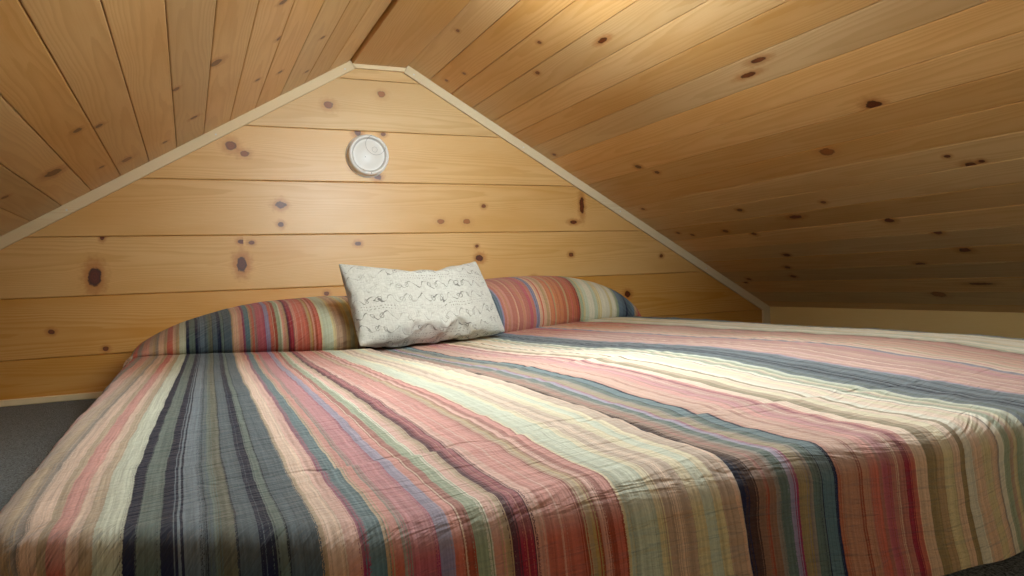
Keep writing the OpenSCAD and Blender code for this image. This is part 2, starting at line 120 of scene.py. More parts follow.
def pickParts(piece, kind, test):
    # test is asked for every vertex, edge or face of the piece
    bpy.ops.mesh.select_mode(type=kind)
    bpy.ops.mesh.select_all(action="DESELECT")
    shape = bmesh.from_edit_mesh(piece.data)
    for part in {"VERT": shape.verts, "EDGE": shape.edges, "FACE": shape.faces}[kind]:
        part.select_set(test(part))
    bmesh.update_edit_mesh(piece.data)


def pickFaces(piece, test):
    pickParts(piece, "FACE", lambda face: test(face.calc_center_median(), face.normal))


def pickEdges(piece, test):
    pickParts(piece, "EDGE", lambda edge: test(edge.verts[0].co, edge.verts[1].co))


def same(a, b):
    return abs(a - b) < weld


def cutAt(point, normal, clear=False):
    # what is cleared away leaves a closed end
    bpy.ops.mesh.select_all(action="SELECT")
    bpy.ops.mesh.bisect(plane_co=point, plane_no=normal, use_fill=clear, clear_outer=clear)


def applyPlace(piece):
    pickOnly(piece)
    bpy.ops.object.transform_apply(location=True, rotation=True, scale=True)


def applyStep(piece, kind, **settings):
    pickOnly(piece)
    step = piece.modifiers.new("step", kind)
    for name, value in settings.items():
        setattr(step, name, value)
    bpy.ops.object.modifier_apply(modifier=step.name)


def copyOf(piece, name):
    made = piece.copy()
    made.data = piece.data.copy()
    made.name = name
    bpy.context.scene.collection.objects.link(made)
    return made


def joinAll(pieces, name):
    pickOnly(*pieces)
    if len(pieces) > 1:
        bpy.ops.object.join()
    joined = bpy.context.object
    joined.name = name
    joined.data.name = name
    return joined


def begin(name, add, **settings):
    # a new piece from one of Blender's own shapes
    bpy.ops.object.select_all(action="DESELECT")
    add(**settings)
    made = bpy.context.object
    made.name = name
    return made


def block(name, low, high):
    middle = [(a + b) / 2 for a, b in zip(low, high)]
    made = begin(name, bpy.ops.mesh.primitive_cube_add, size=1, location=middle)
    made.scale = [b - a for a, b in zip(low, high)]
    applyPlace(made)
    return made


def closedGrid(name, across, along):
    # two layers of a grid, joined round the rim
    made = begin(name, bpy.ops.mesh.primitive_grid_add, x_subdivisions=across, y_subdivisions=along, size=2)
    startEdit(made, everything=True)
    bpy.ops.mesh.extrude_region_move(TRANSFORM_OT_translate={"value": (0, 0, 1)})
    endEdit()
    return made


def smooth(piece, degrees=40):
    pickOnly(piece)
    bpy.ops.object.shade_smooth_by_angle(angle=math.radians(degrees))


def faceOut(piece, closer=0.0):
    # welds what stands closer than this, and turns every face outwards
    startEdit(piece, everything=True)
    if closer:
        bpy.ops.mesh.remove_doubles(threshold=closer)
    bpy.ops.mesh.normals_make_consistent(inside=False)
    endEdit()


def coat(piece, *materials):
    piece.data.materials.clear()
    for material in materials:
        piece.data.materials.append(material)


def settle(piece, slot, *replaced):
    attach(piece, "root")
    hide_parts(*replaced)


def dress(piece, material, slot, *replaced):
    coat(piece, material)
    settle(piece, slot, *replaced)


def readAll(data, what, wide=1, kind=float):
    found = np.zeros(len(data) * wide, kind)
    data.foreach_get(what, found)
    return found if wide == 1 else found.reshape(-1, wide)


def storeOnFaces(mesh, name, values):
    mesh.attributes.new(name, "FLOAT_VECTOR", "FACE").data.foreach_set("vector", values.ravel())


def faceOwners(mesh):
    # how many corners each face has, and the face of each corner
    total = readAll(mesh.polygons, "loop_total", kind=np.int32)
    return total, np.repeat(np.arange(len(total)), total)


def curveThrough(points, x):
    # smooth curve through a short table of places and values
    xs, ys = np.array(points, float)[:, :2].T
    lean = np.gradient(ys, xs)
    x = np.clip(x, xs[0], xs[-1])
    i = np.clip(np.searchsorted(xs, x, side="right") - 1, 0, len(xs) - 2)
    wide = xs[i + 1] - xs[i]
    t = (x - xs[i]) / wide
    a = ys[i] * (1 + 2 * t) * (1 - t) ** 2 + lean[i] * wide * t * (1 - t) ** 2
    b = ys[i + 1] * t * t * (3 - 2 * t) + lean[i + 1] * wide * t * t * (t - 1)
    return a + b


# Node helpers for the materials

def paint(code):
    parts = [int(code[i:i + 2], 16) / 255 for i in (0, 2, 4)]
    parts = [c / 12.92 if c <= 0.04045 else ((c + 0.055) / 1.055) ** 2.4 for c in parts]
    return (*parts, 1.0)


site = {}
sockets = {
    "rough": "Roughness", "specular": "Specular IOR Level", "metallic": "Metallic", "coat": "Coat Weight",
    "coatRough": "Coat Roughness", "sheen": "Sheen Weight", "sheenRough": "Sheen Roughness",
}


def newMaterial(name, **settings):
    # the helpers below add their nodes to the tree of the newest material
    made = bpy.data.materials.new(name)
    made.use_nodes = True
    site["tree"] = made.node_tree
    site["surface"] = made.node_tree.nodes["Principled BSDF"]
    for key, value in settings.items():
        site["surface"].inputs[sockets[key]].default_value = value
    return made


def finished(material, colour, height, depth, strength):
    # the last two links of every material: its colour and its relief
    link(colour, "Base Color")
    link(take("Bump", {"Height": height, "Distance": depth, "Strength": strength}), "Normal")
    return material


class Value:
    # a node's output, which can stand in a sum
    def __init__(self, socket):
        self.socket = socket

    def __add__(self, other):
        return calc("ADD", self, other)

    def __sub__(self, other):
        return calc("SUBTRACT", self, other)

    def __rsub__(self, other):
        return calc("SUBTRACT", other, self)

    def __mul__(self, other):
        return calc("MULTIPLY", self, other)

    def __truediv__(self, other):
        return calc("DIVIDE", self, other)


def link(value, name):
    site["tree"].links.new(value.socket, site["surface"].inputs[name])


def addNode(kind, inputs=None, **settings):
    made = site["tree"].nodes.new("ShaderNode" + kind)
    for name, value in settings.items():
        setattr(made, name, value)
    for name, value in (inputs or {}).items():
        if isinstance(value, Value):
            site["tree"].links.new(value.socket, made.inputs[name])
        else:
            made.inputs[name].default_value = value
    return made


def take(kind, inputs=None, out=0, **settings):
    return Value(addNode(kind, inputs, **settings).outputs[out])


def calc(what, *given, clamp=False):
    return take("Math", dict(enumerate(given)), operation=what, use_clamp=clamp)


def ease(value, low, high, start=0.0, end=1.0):
    inputs = {"Value": value, "From Min": low, "From Max": high, "To Min": start, "To Max": end}
    return take("MapRange", inputs, interpolation_type="SMOOTHSTEP")


def noise(where, scale, detail=2.0, rough=0.5, warp=0.0):
    inputs = {"Vector": where, "Scale": scale, "Detail": detail, "Roughness": rough, "Distortion": warp}
    return take("TexNoise", inputs, out="Fac")


def cloud(u, v, detail=2.0, rough=0.5, warp=0.0):
    # noise over a surface whose two ways are already scaled
    return noise(vector(u, v), 1.0, detail, rough, warp)


def mixColour(amount, first, second, blend="MIX"):
    given = [paint(c) if isinstance(c, str) else c for c in (first, second)]
    return take("Mix", {0: amount, 6: given[0], 7: given[1]}, out=2, data_type="RGBA", blend_type=blend)


def vector(x, y, z=0.0):
    return take("CombineXYZ", {0: x, 1: y, 2: z})


def parts(value):
    return [Value(socket) for socket in addNode("SeparateXYZ", {0: value}).outputs]


def distance(a, b):
    return calc("SQRT", a * a + b * b)


def inSpace():
    return take("TexCoord", out="Object")


def stored(name):
    return parts(take("Attribute", attribute_name=name, out="Vector"))


# Wood. The grain runs along u of the map named grain, in metres, and each
# face may carry the place, size and shape of up to two knots.

def knotField(u, v, name):
    place = stored(name + "Place")
    shape = stored(name + "Shape")
    size = calc("MAXIMUM", place[2], 0.00001)
    there = calc("GREATER_THAN", place[2], 0.0005)
    long = size * shape[0]
    wide = size * shape[1]
    du = u - place[0]
    dv = v - place[1]
    ripple = noise(vector(u, v), 70.0) * 0.9 + 0.55
    far = distance(du / long, dv / wide) * ripple
    inside = ease(far, 1.12, 0.86) * there
    rim = ease(calc("ABSOLUTE", far - 0.98), 0.30, 0.02) * there
    halo = ease(far, 3.2, 0.9) * there
    # the grain parts and flows round the knot
    reach = du / (long * 2.8)
    fade = calc("EXPONENT", reach * reach * -1.0)
    push = wide * 1.25
    outer = calc("SQRT", dv * dv + push * push * fade)
    bend = calc("SIGN", dv) * (outer - calc("ABSOLUTE", dv)) * there
    return {"far": far, "inside": inside, "rim": rim, "halo": halo, "bend": bend, "dark": shape[2]}


def woodMaterial(name, look):
    material = newMaterial(name, rough=look["rough"], coat=look.get("coat", 0.0),
                           coatRough=look.get("coatRough", 0.3), specular=look.get("specular", 0.4))
    u, v, _ = parts(take("UVMap", uv_map="grain"))
    tone = stored("boardToneAndShade")
    fields = [knotField(u, v, which) for which in ("first", "second") if look.get("knots")]
    across = v
    for field in fields:
        across = across - field["bend"] * 0.9
    # flat sawn rings: arches in the middle of a board, close lines at its edges
    sway = cloud(u * 1.6, across * 9.0)
    drift = (sway - 0.5) * 0.05 + across
    heart = drift - tone[1]
    stir = cloud(u * 3.0, across * 40.0, 3.0)
    ring = calc("FRACT", heart * heart * look["arch"] + u * 2.2 + stir * 1.6)
    late = ease(ring, 0.30, 0.86) * ease(ring, 1.0, 0.92)
    fibre = cloud(u * 9.0, across * 420.0, 3.0)
    patches = cloud(u * 2.0, v * 7.0, 3.0)
    colour = mixColour(late * look["contrast"], look["early"], look["late"])
    colour = mixColour(ease(fibre, 0.35, 0.75) * look.get("fibre", 0.35), colour, look["streak"])
    colour = mixColour(ease(patches, 0.35, 0.75) * look["patch"], colour, look["deep"])
    # boards differ a little from each other; on the gable wall the set tones also paint shade low down and
    # light in the middle
    shade = {"Hue": tone[2] * -0.007 + 0.5, "Saturation": tone[2] * 0.12 + 1.0,
             "Value": tone[0] * look["vary"] + 1.0, "Color": colour}
    colour = take("HueSaturation", shade)
    for field in fields:
        dark = field["dark"]
        colour = mixColour(field["halo"] * (dark * 0.75), colour, look["halo"])
        rings = calc("SINE", field["far"] * 17.0)
        paleness = calc("MULTIPLY_ADD", rings, 0.12, dark * -1.3 + 1.3, clamp=True)
        heartwood = mixColour(paleness, look["knot"], look["knotPale"])
        strong = field["inside"] * calc("MULTIPLY_ADD", dark, 0.3, 0.7, clamp=True)
        colour = mixColour(strong, colour, heartwood)
        colour = mixColour(field["rim"] * (dark * 0.85), colour, look["rim"])
    height = late * 0.4 + fibre * 0.6
    return finished(material, colour, height, look.get("relief", 0.0003), look.get("bump", 0.35))


def endMaterial(name, look):
    # end grain: rings round a centre below the piece, with pores and saw marks
    material = newMaterial(name, rough=0.75, specular=0.25)
    where = inSpace()
    x, y, z = parts(where)
    far = distance(calc("FRACT", (x + y) * 2.3) - 0.5, calc("FRACT", z * 3.1) + 0.6)
    rings = calc("SINE", far * 230.0 + noise(where, 14.0) * 9.0)
    pores = noise(where, 900.0)
    colour = mixColour(rings * 0.3 + 0.35, look["early"], look["late"])
    colour = mixColour(ease(pores, 0.45, 0.8) * 0.5, colour, look["deep"])
    return finished(material, colour, pores, 0.0004, 0.5)


liningLook = {
    "early": "e6c187", "late": "c99853", "streak": "d7aa66", "deep": "cf9d55",
    "knot": "5a2209", "knotPale": "a2571a", "rim": "38160a", "halo": "b46c28",
    "rough": 0.42, "coat": 0.25, "coatRough": 0.30, "contrast": 0.38, "arch": 1500.0,
    "knots": True, "vary": 0.14, "patch": 0.5, "fibre": 0.3,
}
trimLook = {
    "early": "f5e5c0", "late": "e4c998", "streak": "ecd6aa", "deep": "e7cf9f",
    "rough": 0.55, "contrast": 0.5, "arch": 5200.0, "vary": 0.06, "patch": 0.3, "specular": 0.35,
}
paleLook = {
    "early": "f4dfa6", "late": "e0bc74", "streak": "ebcc86", "deep": "e5c278",
    "rough": 0.5, "contrast": 0.55, "arch": 2600.0, "vary": 0.08, "patch": 0.35, "coat": 0.1,
}
framingLook = {
    "early": "d9b584", "late": "b58550", "streak": "c79c66", "deep": "bd9361",
    "rough": 0.8, "contrast": 0.6, "arch": 2400.0, "vary": 0.12, "patch": 0.5, "specular": 0.2,
    "relief": 0.0006, "bump": 0.6,
}
sidingLook = {
    "early": "a9743f", "late": "7c4c24", "streak": "8f5c2f", "deep": "7b4f2a",
    "knot": "4a2410", "knotPale": "6b381a", "rim": "2b1206", "halo": "7a4520",
    "rough": 0.6, "contrast": 0.6, "arch": 1900.0, "knots": True, "vary": 0.05, "patch": 0.55,
    "specular": 0.3, "relief": 0.0005, "bump": 0.5,
}
outsideLook = {
    "early": "8a5a31", "late": "63391b", "streak": "744824", "deep": "5f3a1e",
    "rough": 0.55, "contrast": 0.6, "arch": 3000.0, "vary": 0.08, "patch": 0.45, "specular": 0.35,
    "relief": 0.0004, "bump": 0.45,
}
pine = woodMaterial("varnishedPine", liningLook)
pineEnd = endMaterial("pineEndGrain", liningLook)
trimPine = woodMaterial("stripPine", trimLook)
trimEnd = endMaterial("stripEndGrain", trimLook)
palePine = woodMaterial("boardPine", paleLook)
timber = woodMaterial("sawnTimber", framingLook)
timberEnd = endMaterial("timberEndGrain", framingLook)
sidingWood = woodMaterial("stainedSiding", sidingLook)
sidingEnd = endMaterial("sidingEndGrain", sidingLook)
outsideWood = woodMaterial("stainedTrim", outsideLook)
outsideEnd = endMaterial("stainedEndGrain", outsideLook)
print("wood materials made")


def grainMap(piece, run, seed, wood, ends):
    # maps a squared-up piece: u along its run, v across it, the ends apart
    mesh = piece.data
    coat(piece, wood, ends)
    run = np.array(run, float) / np.linalg.norm(run)
    co = readAll(mesh.vertices, "co", 3)[readAll(mesh.loops, "vertex_index", kind=np.int32)]
    normal = readAll(mesh.polygons, "normal", 3)
    owner = faceOwners(mesh)[1]
    dice = random.Random(seed)
    shift = dice.uniform(0, 40)
    if "grain" not in mesh.uv_layers:
        mesh.uv_layers.new(name="grain")
    spread = np.abs(np.cross(normal, run)[owner]).argmax(axis=1)
    across = co[np.arange(len(co)), spread] - co.mean(axis=0)[spread]
    uv = np.stack([co @ run + shift, across + 0.013 * spread], axis=1)
    mesh.uv_layers["grain"].data.foreach_set("uv", uv.ravel())
    mesh.polygons.foreach_set("material_index", (np.abs(normal @ run) > 0.8).astype(np.int32))
    tone = [dice.uniform(-1, 1), dice.uniform(-0.03, 0.03), dice.uniform(-1, 1)]
    values = np.tile(tone, (len(mesh.polygons), 1))
    storeOnFaces(mesh, "boardToneAndShade", values)
    mesh.update()


def dressTimber(node, name, run, look, slot, edge, seed, planed=None):
    # a copy of a squared CAD node with eased edges and grain along its run
    made = copyOf(nodes[node], name)
    made.parent = None
    for key in list(made.keys()):
        del made[key]
    startEdit(made, everything=True)
    bpy.ops.mesh.remove_doubles(threshold=weld)
    bpy.ops.mesh.dissolve_limited(angle_limit=math.radians(1))
    endEdit()
    if planed:
        for corner in made.data.vertices:
            corner.co = planed(corner.co)
    applyStep(made, "BEVEL", width=edge, segments=2, limit_method="ANGLE", angle_limit=math.radians(25))
    grainMap(made, run, seed, *look)
    settle(made, slot, node)


# Boards. One board is shaped, and its copies are laid side by side.

def shapeBoard(name, long, wide, thick, edge, tongue=0.006):
    board = block(name, (0, 0, -thick), (long, wide, 0))
    startEdit(board)
    low = -thick * 0.66
    high = -thick * 0.38
    cutAt((0, 0, high), (0, 0, 1))
    cutAt((0, 0, low), (0, 0, 1))
    # tongue on the far edge, groove in the near one
    pickFaces(board, lambda c, n: low < c.z < high and n.y > 0.9)
    bpy.ops.mesh.extrude_region_move(TRANSFORM_OT_translate={"value": (0, tongue, 0)})
    bpy.ops.transform.resize(value=(1, 1, 0.9))
    pickFaces(board, lambda c, n: low < c.z < high and n.y < -0.9)
    bpy.ops.mesh.extrude_region_move(TRANSFORM_OT_translate={"value": (0, tongue * 1.15, 0)})
    # eased long edges on the face
    pickEdges(board, lambda a, b: same(a.z, 0) and same(b.z, 0) and same(a.y, b.y))
    bpy.ops.mesh.bevel(offset=edge, segments=2, profile=0.5, affect="EDGES")
    step = 0.06
    for k in range(1, int(long / step)):
        cutAt((k * step, 0, 0), (1, 0, 0))
    endEdit()
    return board


def layBoards(name, plan, place, outline, knots, look, seed):
    # place turns along, across and out into the room's own axes
    board = shapeBoard(name + "One", plan["long"], plan["wide"] - plan["gap"], plan["thick"], plan["edge"])
    laid = []
    for i in range(plan["count"]):
        one = copyOf(board, name + "Copy")
        one.matrix_world = place @ Matrix.Translation((0, plan["start"] + i * plan["wide"], 0))
        laid.append(one)
    bpy.data.objects.remove(board)
    made = joinAll(laid, name)
    applyPlace(made)
    startEdit(made)
    for point, normal in outline:
        cutAt(point, normal, clear=True)
    endEdit()
    mapBoards(made, plan, place, knots, look, seed)
    return made


def mapBoards(piece, plan, place, knots, look, seed):
    mesh = piece.data
    coat(piece, *look)
    back = np.array(place.inverted())
    co = readAll(mesh.vertices, "co", 3) @ back[:3, :3].T + back[:3, 3]
    at = readAll(mesh.loops, "vertex_index", kind=np.int32)
    total, owner = faceOwners(mesh)
    centre = np.zeros((len(total), 3))
    for k in range(3):
        centre[:, k] = np.bincount(owner, co[at, k], len(total)) / total
    normal = readAll(mesh.polygons, "normal", 3) @ back[:3, :3].T
    number = np.floor((centre[:, 1] - plan["start"]) / plan["wide"]).astype(int)
    number = np.clip(number, 0, plan["count"] - 1)
    dice = random.Random(seed)
    shift = np.array([dice.uniform(0, 60) for _ in range(plan["count"])])
    toneAndShade = [[dice.uniform(-1, 1), dice.uniform(-0.3, 0.3) * plan["wide"], dice.uniform(-1, 1)]
             for _ in range(plan["count"])]
    # a plan may set some boards' tone and richness: on the gable wall this is painted shade and painted
    # light
    for i, value in plan.get("toneAndShade", {}).items():
        toneAndShade[i][0] = value
    for i, value in plan.get("richAndShade", {}).items():
        toneAndShade[i][2] = value
    toneAndShade = np.array(toneAndShade)
    mesh.uv_layers.new(name="grain")
    middle = plan["start"] + (number + 0.5) * plan["wide"]
    uv = np.stack([co[at, 0] + shift[number[owner]], co[at, 1] - middle[owner]], axis=1)
    mesh.uv_layers["grain"].data.foreach_set("uv", uv.ravel())
    mesh.polygons.foreach_set("material_index", (np.abs(normal[:, 0]) > 0.6).astype(np.int32))
    storeOnFaces(mesh, "boardToneAndShade", toneAndShade[number])
    # each face takes its two nearest knots
    byBoard = {i: [] for i in range(plan["count"])}
    for knot in knots:
        i = int((knot[1] - plan["start"]) // plan["wide"])
        if 0 <= i < plan["count"]:
            byBoard[i].append(knot)
    low, high = plan.get("looseFrom", (-9, 9))
    for i in range(plan["count"] if plan.get("loose") else 0):
        spot = dice.uniform(0, 0.5)
        while spot < plan["long"]:
            clear = all(abs(k[0] - spot) > 0.14 for k in byBoard[i])
            if clear and low <= spot <= high:
                size = dice.choice([0.003, 0.004, 0.006, 0.009, 0.012])
                across = plan["start"] + (i + dice.uniform(0.2, 0.8)) * plan["wide"]
                byBoard[i].append((spot, across, size, dice.uniform(1.0, 1.8), 1.0, dice.uniform(0.5, 1.0)))
            spot += dice.uniform(0.5, 1.5) * plan["loose"]
    places = np.zeros((2, len(total), 3))
    shapes = np.ones((2, len(total), 3))
    for face in range(len(total)):
        i = number[face]
        near = sorted(byBoard[i], key=lambda k: abs(k[0] - centre[face, 0]) - 2.5 * k[2] * k[3])[:2]
        for which, knot in enumerate(near):
            if abs(knot[0] - centre[face, 0]) <= 0.25:
                places[which, face] = (knot[0] + shift[i], knot[1] - middle[face], knot[2])
                shapes[which, face] = knot[3:]
    for which, word in enumerate(("first", "second")):
        storeOnFaces(mesh, word + "Place", places[which])
        storeOnFaces(mesh, word + "Shape", shapes[which])
    mesh.update()


def frameOf(along, across, origin):
    out = Vector(along).cross(Vector(across))
    made = Matrix((along, across, out)).transposed().to_4x4()
    return Matrix.Translation(origin) @ made


def shaped(knot, *usual):
    # a knot with the usual length, width and darkness where its row leaves them out
    return (*knot, *usual[len(knot) - 3:])


# Gable wall inside. Knots: X, height over the carpet, radius, long, wide, dark
gableWall = {
    "from": 1.725, "long": 3.45, "wide": 0.1755, "gap": 0.0012, "thick": 0.019, "edge": 0.0026,
    # the set tones and richness make the lowest boards darker and richer and the middle ones lighter:
    # painted shade low on the wall, painted light on its middle
    "start": -0.0465, "count": 7, "toneAndShade": {0: -0.5, 1: -0.4, 2: 0.1, 3: 0.3, 4: 0.5, 5: 0.2, 6: 0.3},
    "richAndShade": {0: 1.6, 1: 1.6, 2: 0.7, 3: 0.7, 4: 0.5, 5: -0.2, 6: 0.0},
}
gableKnots = [
    (-0.178, 0.912, 0.011, 1.2, 1.0, 0.6), (0.004, 0.960, 0.010, 1.3, 1.0, 0.35),
    (-0.084, 0.826, 0.010, 1.0, 1.2, 0.9), (0.004, 0.822, 0.006, 1.3, 1.0, 0.7),
    (-0.020, 0.674, 0.009, 1.2, 0.9, 0.95), (-0.490, 0.764, 0.009, 1.6, 1.5, 0.7),
    (-0.450, 0.740, 0.007, 1.8, 1.2, 0.6), (-0.346, 0.576, 0.011, 1.2, 0.9, 0.9),
    (-0.348, 0.512, 0.007, 1.1, 1.0, 0.9), (-0.884, 0.360, 0.017, 0.85, 1.5, 1.0),
    (-0.860, 0.478, 0.006, 0.9, 1.4, 0.9), (-0.472, 0.386, 0.016, 0.85, 1.3, 1.0),
    (-0.470, 0.458, 0.007, 1.3, 0.9, 0.9), (-0.440, 0.454, 0.006, 1.2, 0.9),
    (-0.098, 0.446, 0.007, 1.2, 0.9, 0.9), (0.368, 0.576, 0.006, 1.2, 1.0, 0.7),
    (0.200, 0.520, 0.008, 1.5, 1.0, 0.3), (0.300, 0.520, 0.009, 1.4, 1.0, 0.3),
    (0.344, 0.386, 0.010, 1.2, 1.0, 0.95), (0.335, 0.430, 0.005), (0.724, 0.390, 0.007),
    (0.780, 0.580, 0.009, 0.9, 3.2, 0.9), (0.740, 0.516, 0.006, 2.4, 1.0, 0.9), (1.144, 0.376, 0.006),
    (0.974, 0.226, 0.010, 1.1, 1.0, 0.95), (-0.210, 0.280, 0.006), (-1.000, 0.204, 0.006),
    (-0.864, 0.144, 0.006), (0.560, 0.306, 0.007),
]
gablePlace = frameOf((1, 0, 0), (0, 0, 1), (-gableWall["from"], room["gable"], room["floor"]))
gableKnots = [(knot[0] + gableWall["from"], *shaped(knot, 1.2, 1.0, 0.8)[1:]) for knot in gableKnots]
rightFall = (s30, 0, c30)
leftFall = (-s30, 0, c30)
gableOutline = [
    ((0, 0, room["deckTop"]), (0, 0, -1)),
    ((0, 0, ridgeZ), (0, 0, 1)),
    ((room["wallIn"], 0, 0), (1, 0, 0)),
    ((-room["wallIn"], 0, 0), (-1, 0, 0)),
    ((room["ridgeX"], 0, ridgeZ), rightFall),
    ((-room["ridgeX"], 0, ridgeZ), leftFall),
]
gableBoards = layBoards("gableBoards", gableWall, gablePlace, gableOutline, gableKnots, (pine, pineEnd), 11)
settle(gableBoards, "pine_lining", "gable_lining")
print("gable wall boarded")

# Sloped ceilings: narrow boards along the ridge. Knots: distance from the
# gable, distance down the slope, radius, long, wide, dark
ceilingPlan = {
    "long": 2.459, "wide": 0.0902, "gap": 0.0012, "thick": 0.0188, "edge": 0.0024,
    "start": 0.0, "count": 21, "loose": 0.45,
}
rightKnots = [
    (1.080, 0.924, 0.013, 1.5, 1.0, 0.45), (1.312, 0.800, 0.012, 1.3), (1.116, 0.590, 0.006, 3.6, 1.0, 0.8),
    (1.180, 0.560, 0.006, 3.4, 1.0, 0.8), (0.860, 0.310, 0.006, 3.4), (0.514, 0.290, 0.006, 1.5, 1.0, 0.8),
    (0.388, 0.790, 0.009, 1.3), (0.434, 0.840, 0.007, 1.3), (0.732, 1.198, 0.009, 2.4, 0.9),
    (0.556, 1.118, 0.007), (0.366, 1.232, 0.008), (0.476, 1.270, 0.007),
    (0.490, 1.426, 0.009, 1.4, 1.0, 0.95), (0.114, 1.208, 0.006), (0.176, 1.232, 0.006),
    (0.128, 1.598, 0.007), (0.080, 1.626, 0.006), (0.414, 1.514, 0.008), (0.380, 1.584, 0.008),
    (1.126, 1.458, 0.010), (1.110, 1.356, 0.008), (1.018, 1.272, 0.009), (1.370, 1.076, 0.009, 1.3),
    (1.400, 1.070, 0.005, 1.3), (1.370, 1.020, 0.006, 1.3), (1.342, 1.030, 0.005, 1.3),
    (0.890, 1.140, 0.006, 1.4, 1.0, 0.8), (0.944, 1.530, 0.010), (0.876, 1.730, 0.016, 1.4, 1.0, 0.5),
    (1.050, 1.660, 0.006, 5.0, 1.0, 0.8), (0.664, 0.214, 0.005, 1.4, 1.0, 0.8),
    (0.216, 0.150, 0.005, 1.4, 1.0, 0.7), (0.088, 0.130, 0.005, 1.4, 1.0, 0.7),
    (0.440, 0.034, 0.005, 1.4, 1.0, 0.7), (0.074, 0.610, 0.006, 1.4, 1.0, 0.8),
    (0.116, 1.020, 0.006, 1.4, 1.0, 0.8),
]
leftKnots = [
    (0.472, 0.936, 0.016, 1.5, 1.0, 0.9), (0.744, 0.840, 0.008, 1.4, 1.0, 0.9),
    (0.702, 0.798, 0.007, 1.4, 1.0, 0.9), (0.204, 0.776, 0.010, 2.0, 1.3, 0.6), (0.184, 0.664, 0.006),
    (0.320, 0.576, 0.009, 1.1, 1.0, 0.95), (0.764, 0.526, 0.012), (0.978, 0.390, 0.007),
    (0.720, 0.364, 0.007), (0.400, 0.390, 0.006), (0.360, 0.316, 0.006), (0.702, 0.622, 0.007),
    (0.464, 1.050, 0.007), (0.524, 0.210, 0.006), (0.184, 0.200, 0.006), (0.270, 0.842, 0.006),
]
for side, word, marks in ((1, "Right", rightKnots), (-1, "Left", leftKnots)):
    start = room["front"] if side > 0 else room["gableFrame"]
    place = frameOf((0, side, 0), (side * c30, 0, -s30), (side * room["ridgeX"], start, ridgeZ))
    spots = []
    for knot in marks:
        back, *rest = shaped(knot, 1.4, 1.0, 0.9 if side > 0 else 0.8)
        spots.append((room["gable"] - back - room["front"] if side > 0 else back + room["lining"], *rest))
    plan = dict(ceilingPlan, looseFrom=(0.0, 0.75) if side > 0 else (1.2, 9))
    foot = ((side * room["wallIn"], 0, 0), (side, 0, 0))
    head = ((side * room["ridgeX"], 0, 0), (-side, 0, 0))
    made = layBoards("ceilingBoards" + word, plan, place, [foot, head], spots, (pine, pineEnd), 20 + side)
    settle(made, "pine_lining", "ceiling_" + word.lower())
print("ceilings boarded")

# Siding outside: wide stained boards with a shadow joint
sidingPlan = {
    "long": 3.70, "wide": 0.150, "gap": 0.004, "thick": 0.0188, "edge": 0.004,
    "start": -0.012, "count": 11, "loose": 0.7,
}
place = frameOf((-1, 0, 0), (0, 0, 1), (1.84, room["gableOut"], 0))
outline = [
    ((0, 0, 0), (0, 0, -1)),
    ((room["sideOut"], 0, 0), (1, 0, 0)),
    ((-room["sideOut"], 0, 0), (-1, 0, 0)),
    ((0, 0, deckZ(0)), rightFall),
    ((0, 0, deckZ(0)), leftFall),
]
gableSiding = layBoards("gableSidingBoards", sidingPlan, place, outline, [], (sidingWood, sidingEnd), 31)
settle(gableSiding, "siding", "gable_siding")
for side, word in ((1, "Right"), (-1, "Left")):
    plan = dict(sidingPlan, long=2.56, count=3)
    start = room["front"] - 0.005 if side > 0 else room["gableSiding"] + 0.005
    place = frameOf((0, side, 0), (0, 0, 1), (side * room["sideOut"], start, 0))
    outline = [
        ((0, 0, 0), (0, 0, -1)),
        ((0, room["front"], 0), (0, -1, 0)),
        ((0, room["gableSiding"], 0), (0, 1, 0)),
        ((side * room["sideOut"], 0, rafterZ(room["sideOut"])), (side * s30, 0, c30)),
    ]
    made = layBoards("sideSidingBoards" + word, plan, place, outline, [], (sidingWood, sidingEnd), 40 + side)
    settle(made, "siding", "side_siding_" + word.lower())
print("siding laid")

# Strips, boards and frame timbers
down = {1: (c30, 0, -s30), -1: (-c30, 0, -s30)}
trimWood = (trimPine, trimEnd)
paleWood = (palePine, trimEnd)
frameWood = (timber, timberEnd)
outsideBoards = (outsideWood, outsideEnd)

stripTrim = {"thin": 0.007, "slim": 0.007, "deep": 0.0439, "front": 0.010, "proud": 0.010, "low": 0.024}


def thinner(spot):
    return spot.y + stripTrim["thin"] if spot.y < room["gable"] - stripTrim["front"] else spot.y


def fromRidge(x, inward):
    # the same side of the ridge as x, a little way in from the ridge board's edge
    return math.copysign(room["ridgeX"] - inward, x)


def slimStrip(spot):
    # planed thinner, narrower along the lower edge, and cut square at the ridge
    x = spot.x
    z = spot.z
    if z < ceilingZ(abs(x)) - stripTrim["deep"] / 2:
        z += stripTrim["slim"]
        if abs(x) < room["ridgeX"] + 0.003:
            x = fromRidge(x, 0.0155)
            z = ridgeZ - 0.0269
    return Vector((x, thinner(spot), z))


def slimRidge(spot):
    if spot.z < ridgeZ - 0.010:
        return Vector((fromRidge(spot.x, 0.0142), thinner(spot), ridgeZ - stripTrim["low"]))
    return Vector((fromRidge(spot.x, 0.0060), thinner(spot), ridgeZ - stripTrim["proud"] + 0.0002))


def proudRidge(spot):
    # the ridge board stands a little below the slopes, with raked edges
    if spot.z > ridgeZ + 0.003:
        return spot
    return Vector((fromRidge(spot.x, 0.0085), spot.y, ridgeZ - stripTrim["proud"]))


def slimCorner(spot):
    z = spot.z + stripTrim["slim"] if spot.z > room["floor"] + 0.020 else spot.z
    return Vector((spot.x, thinner(spot), z))


runX = (1, 0, 0)
runY = (0, 1, 0)
runZ = (0, 0, 1)
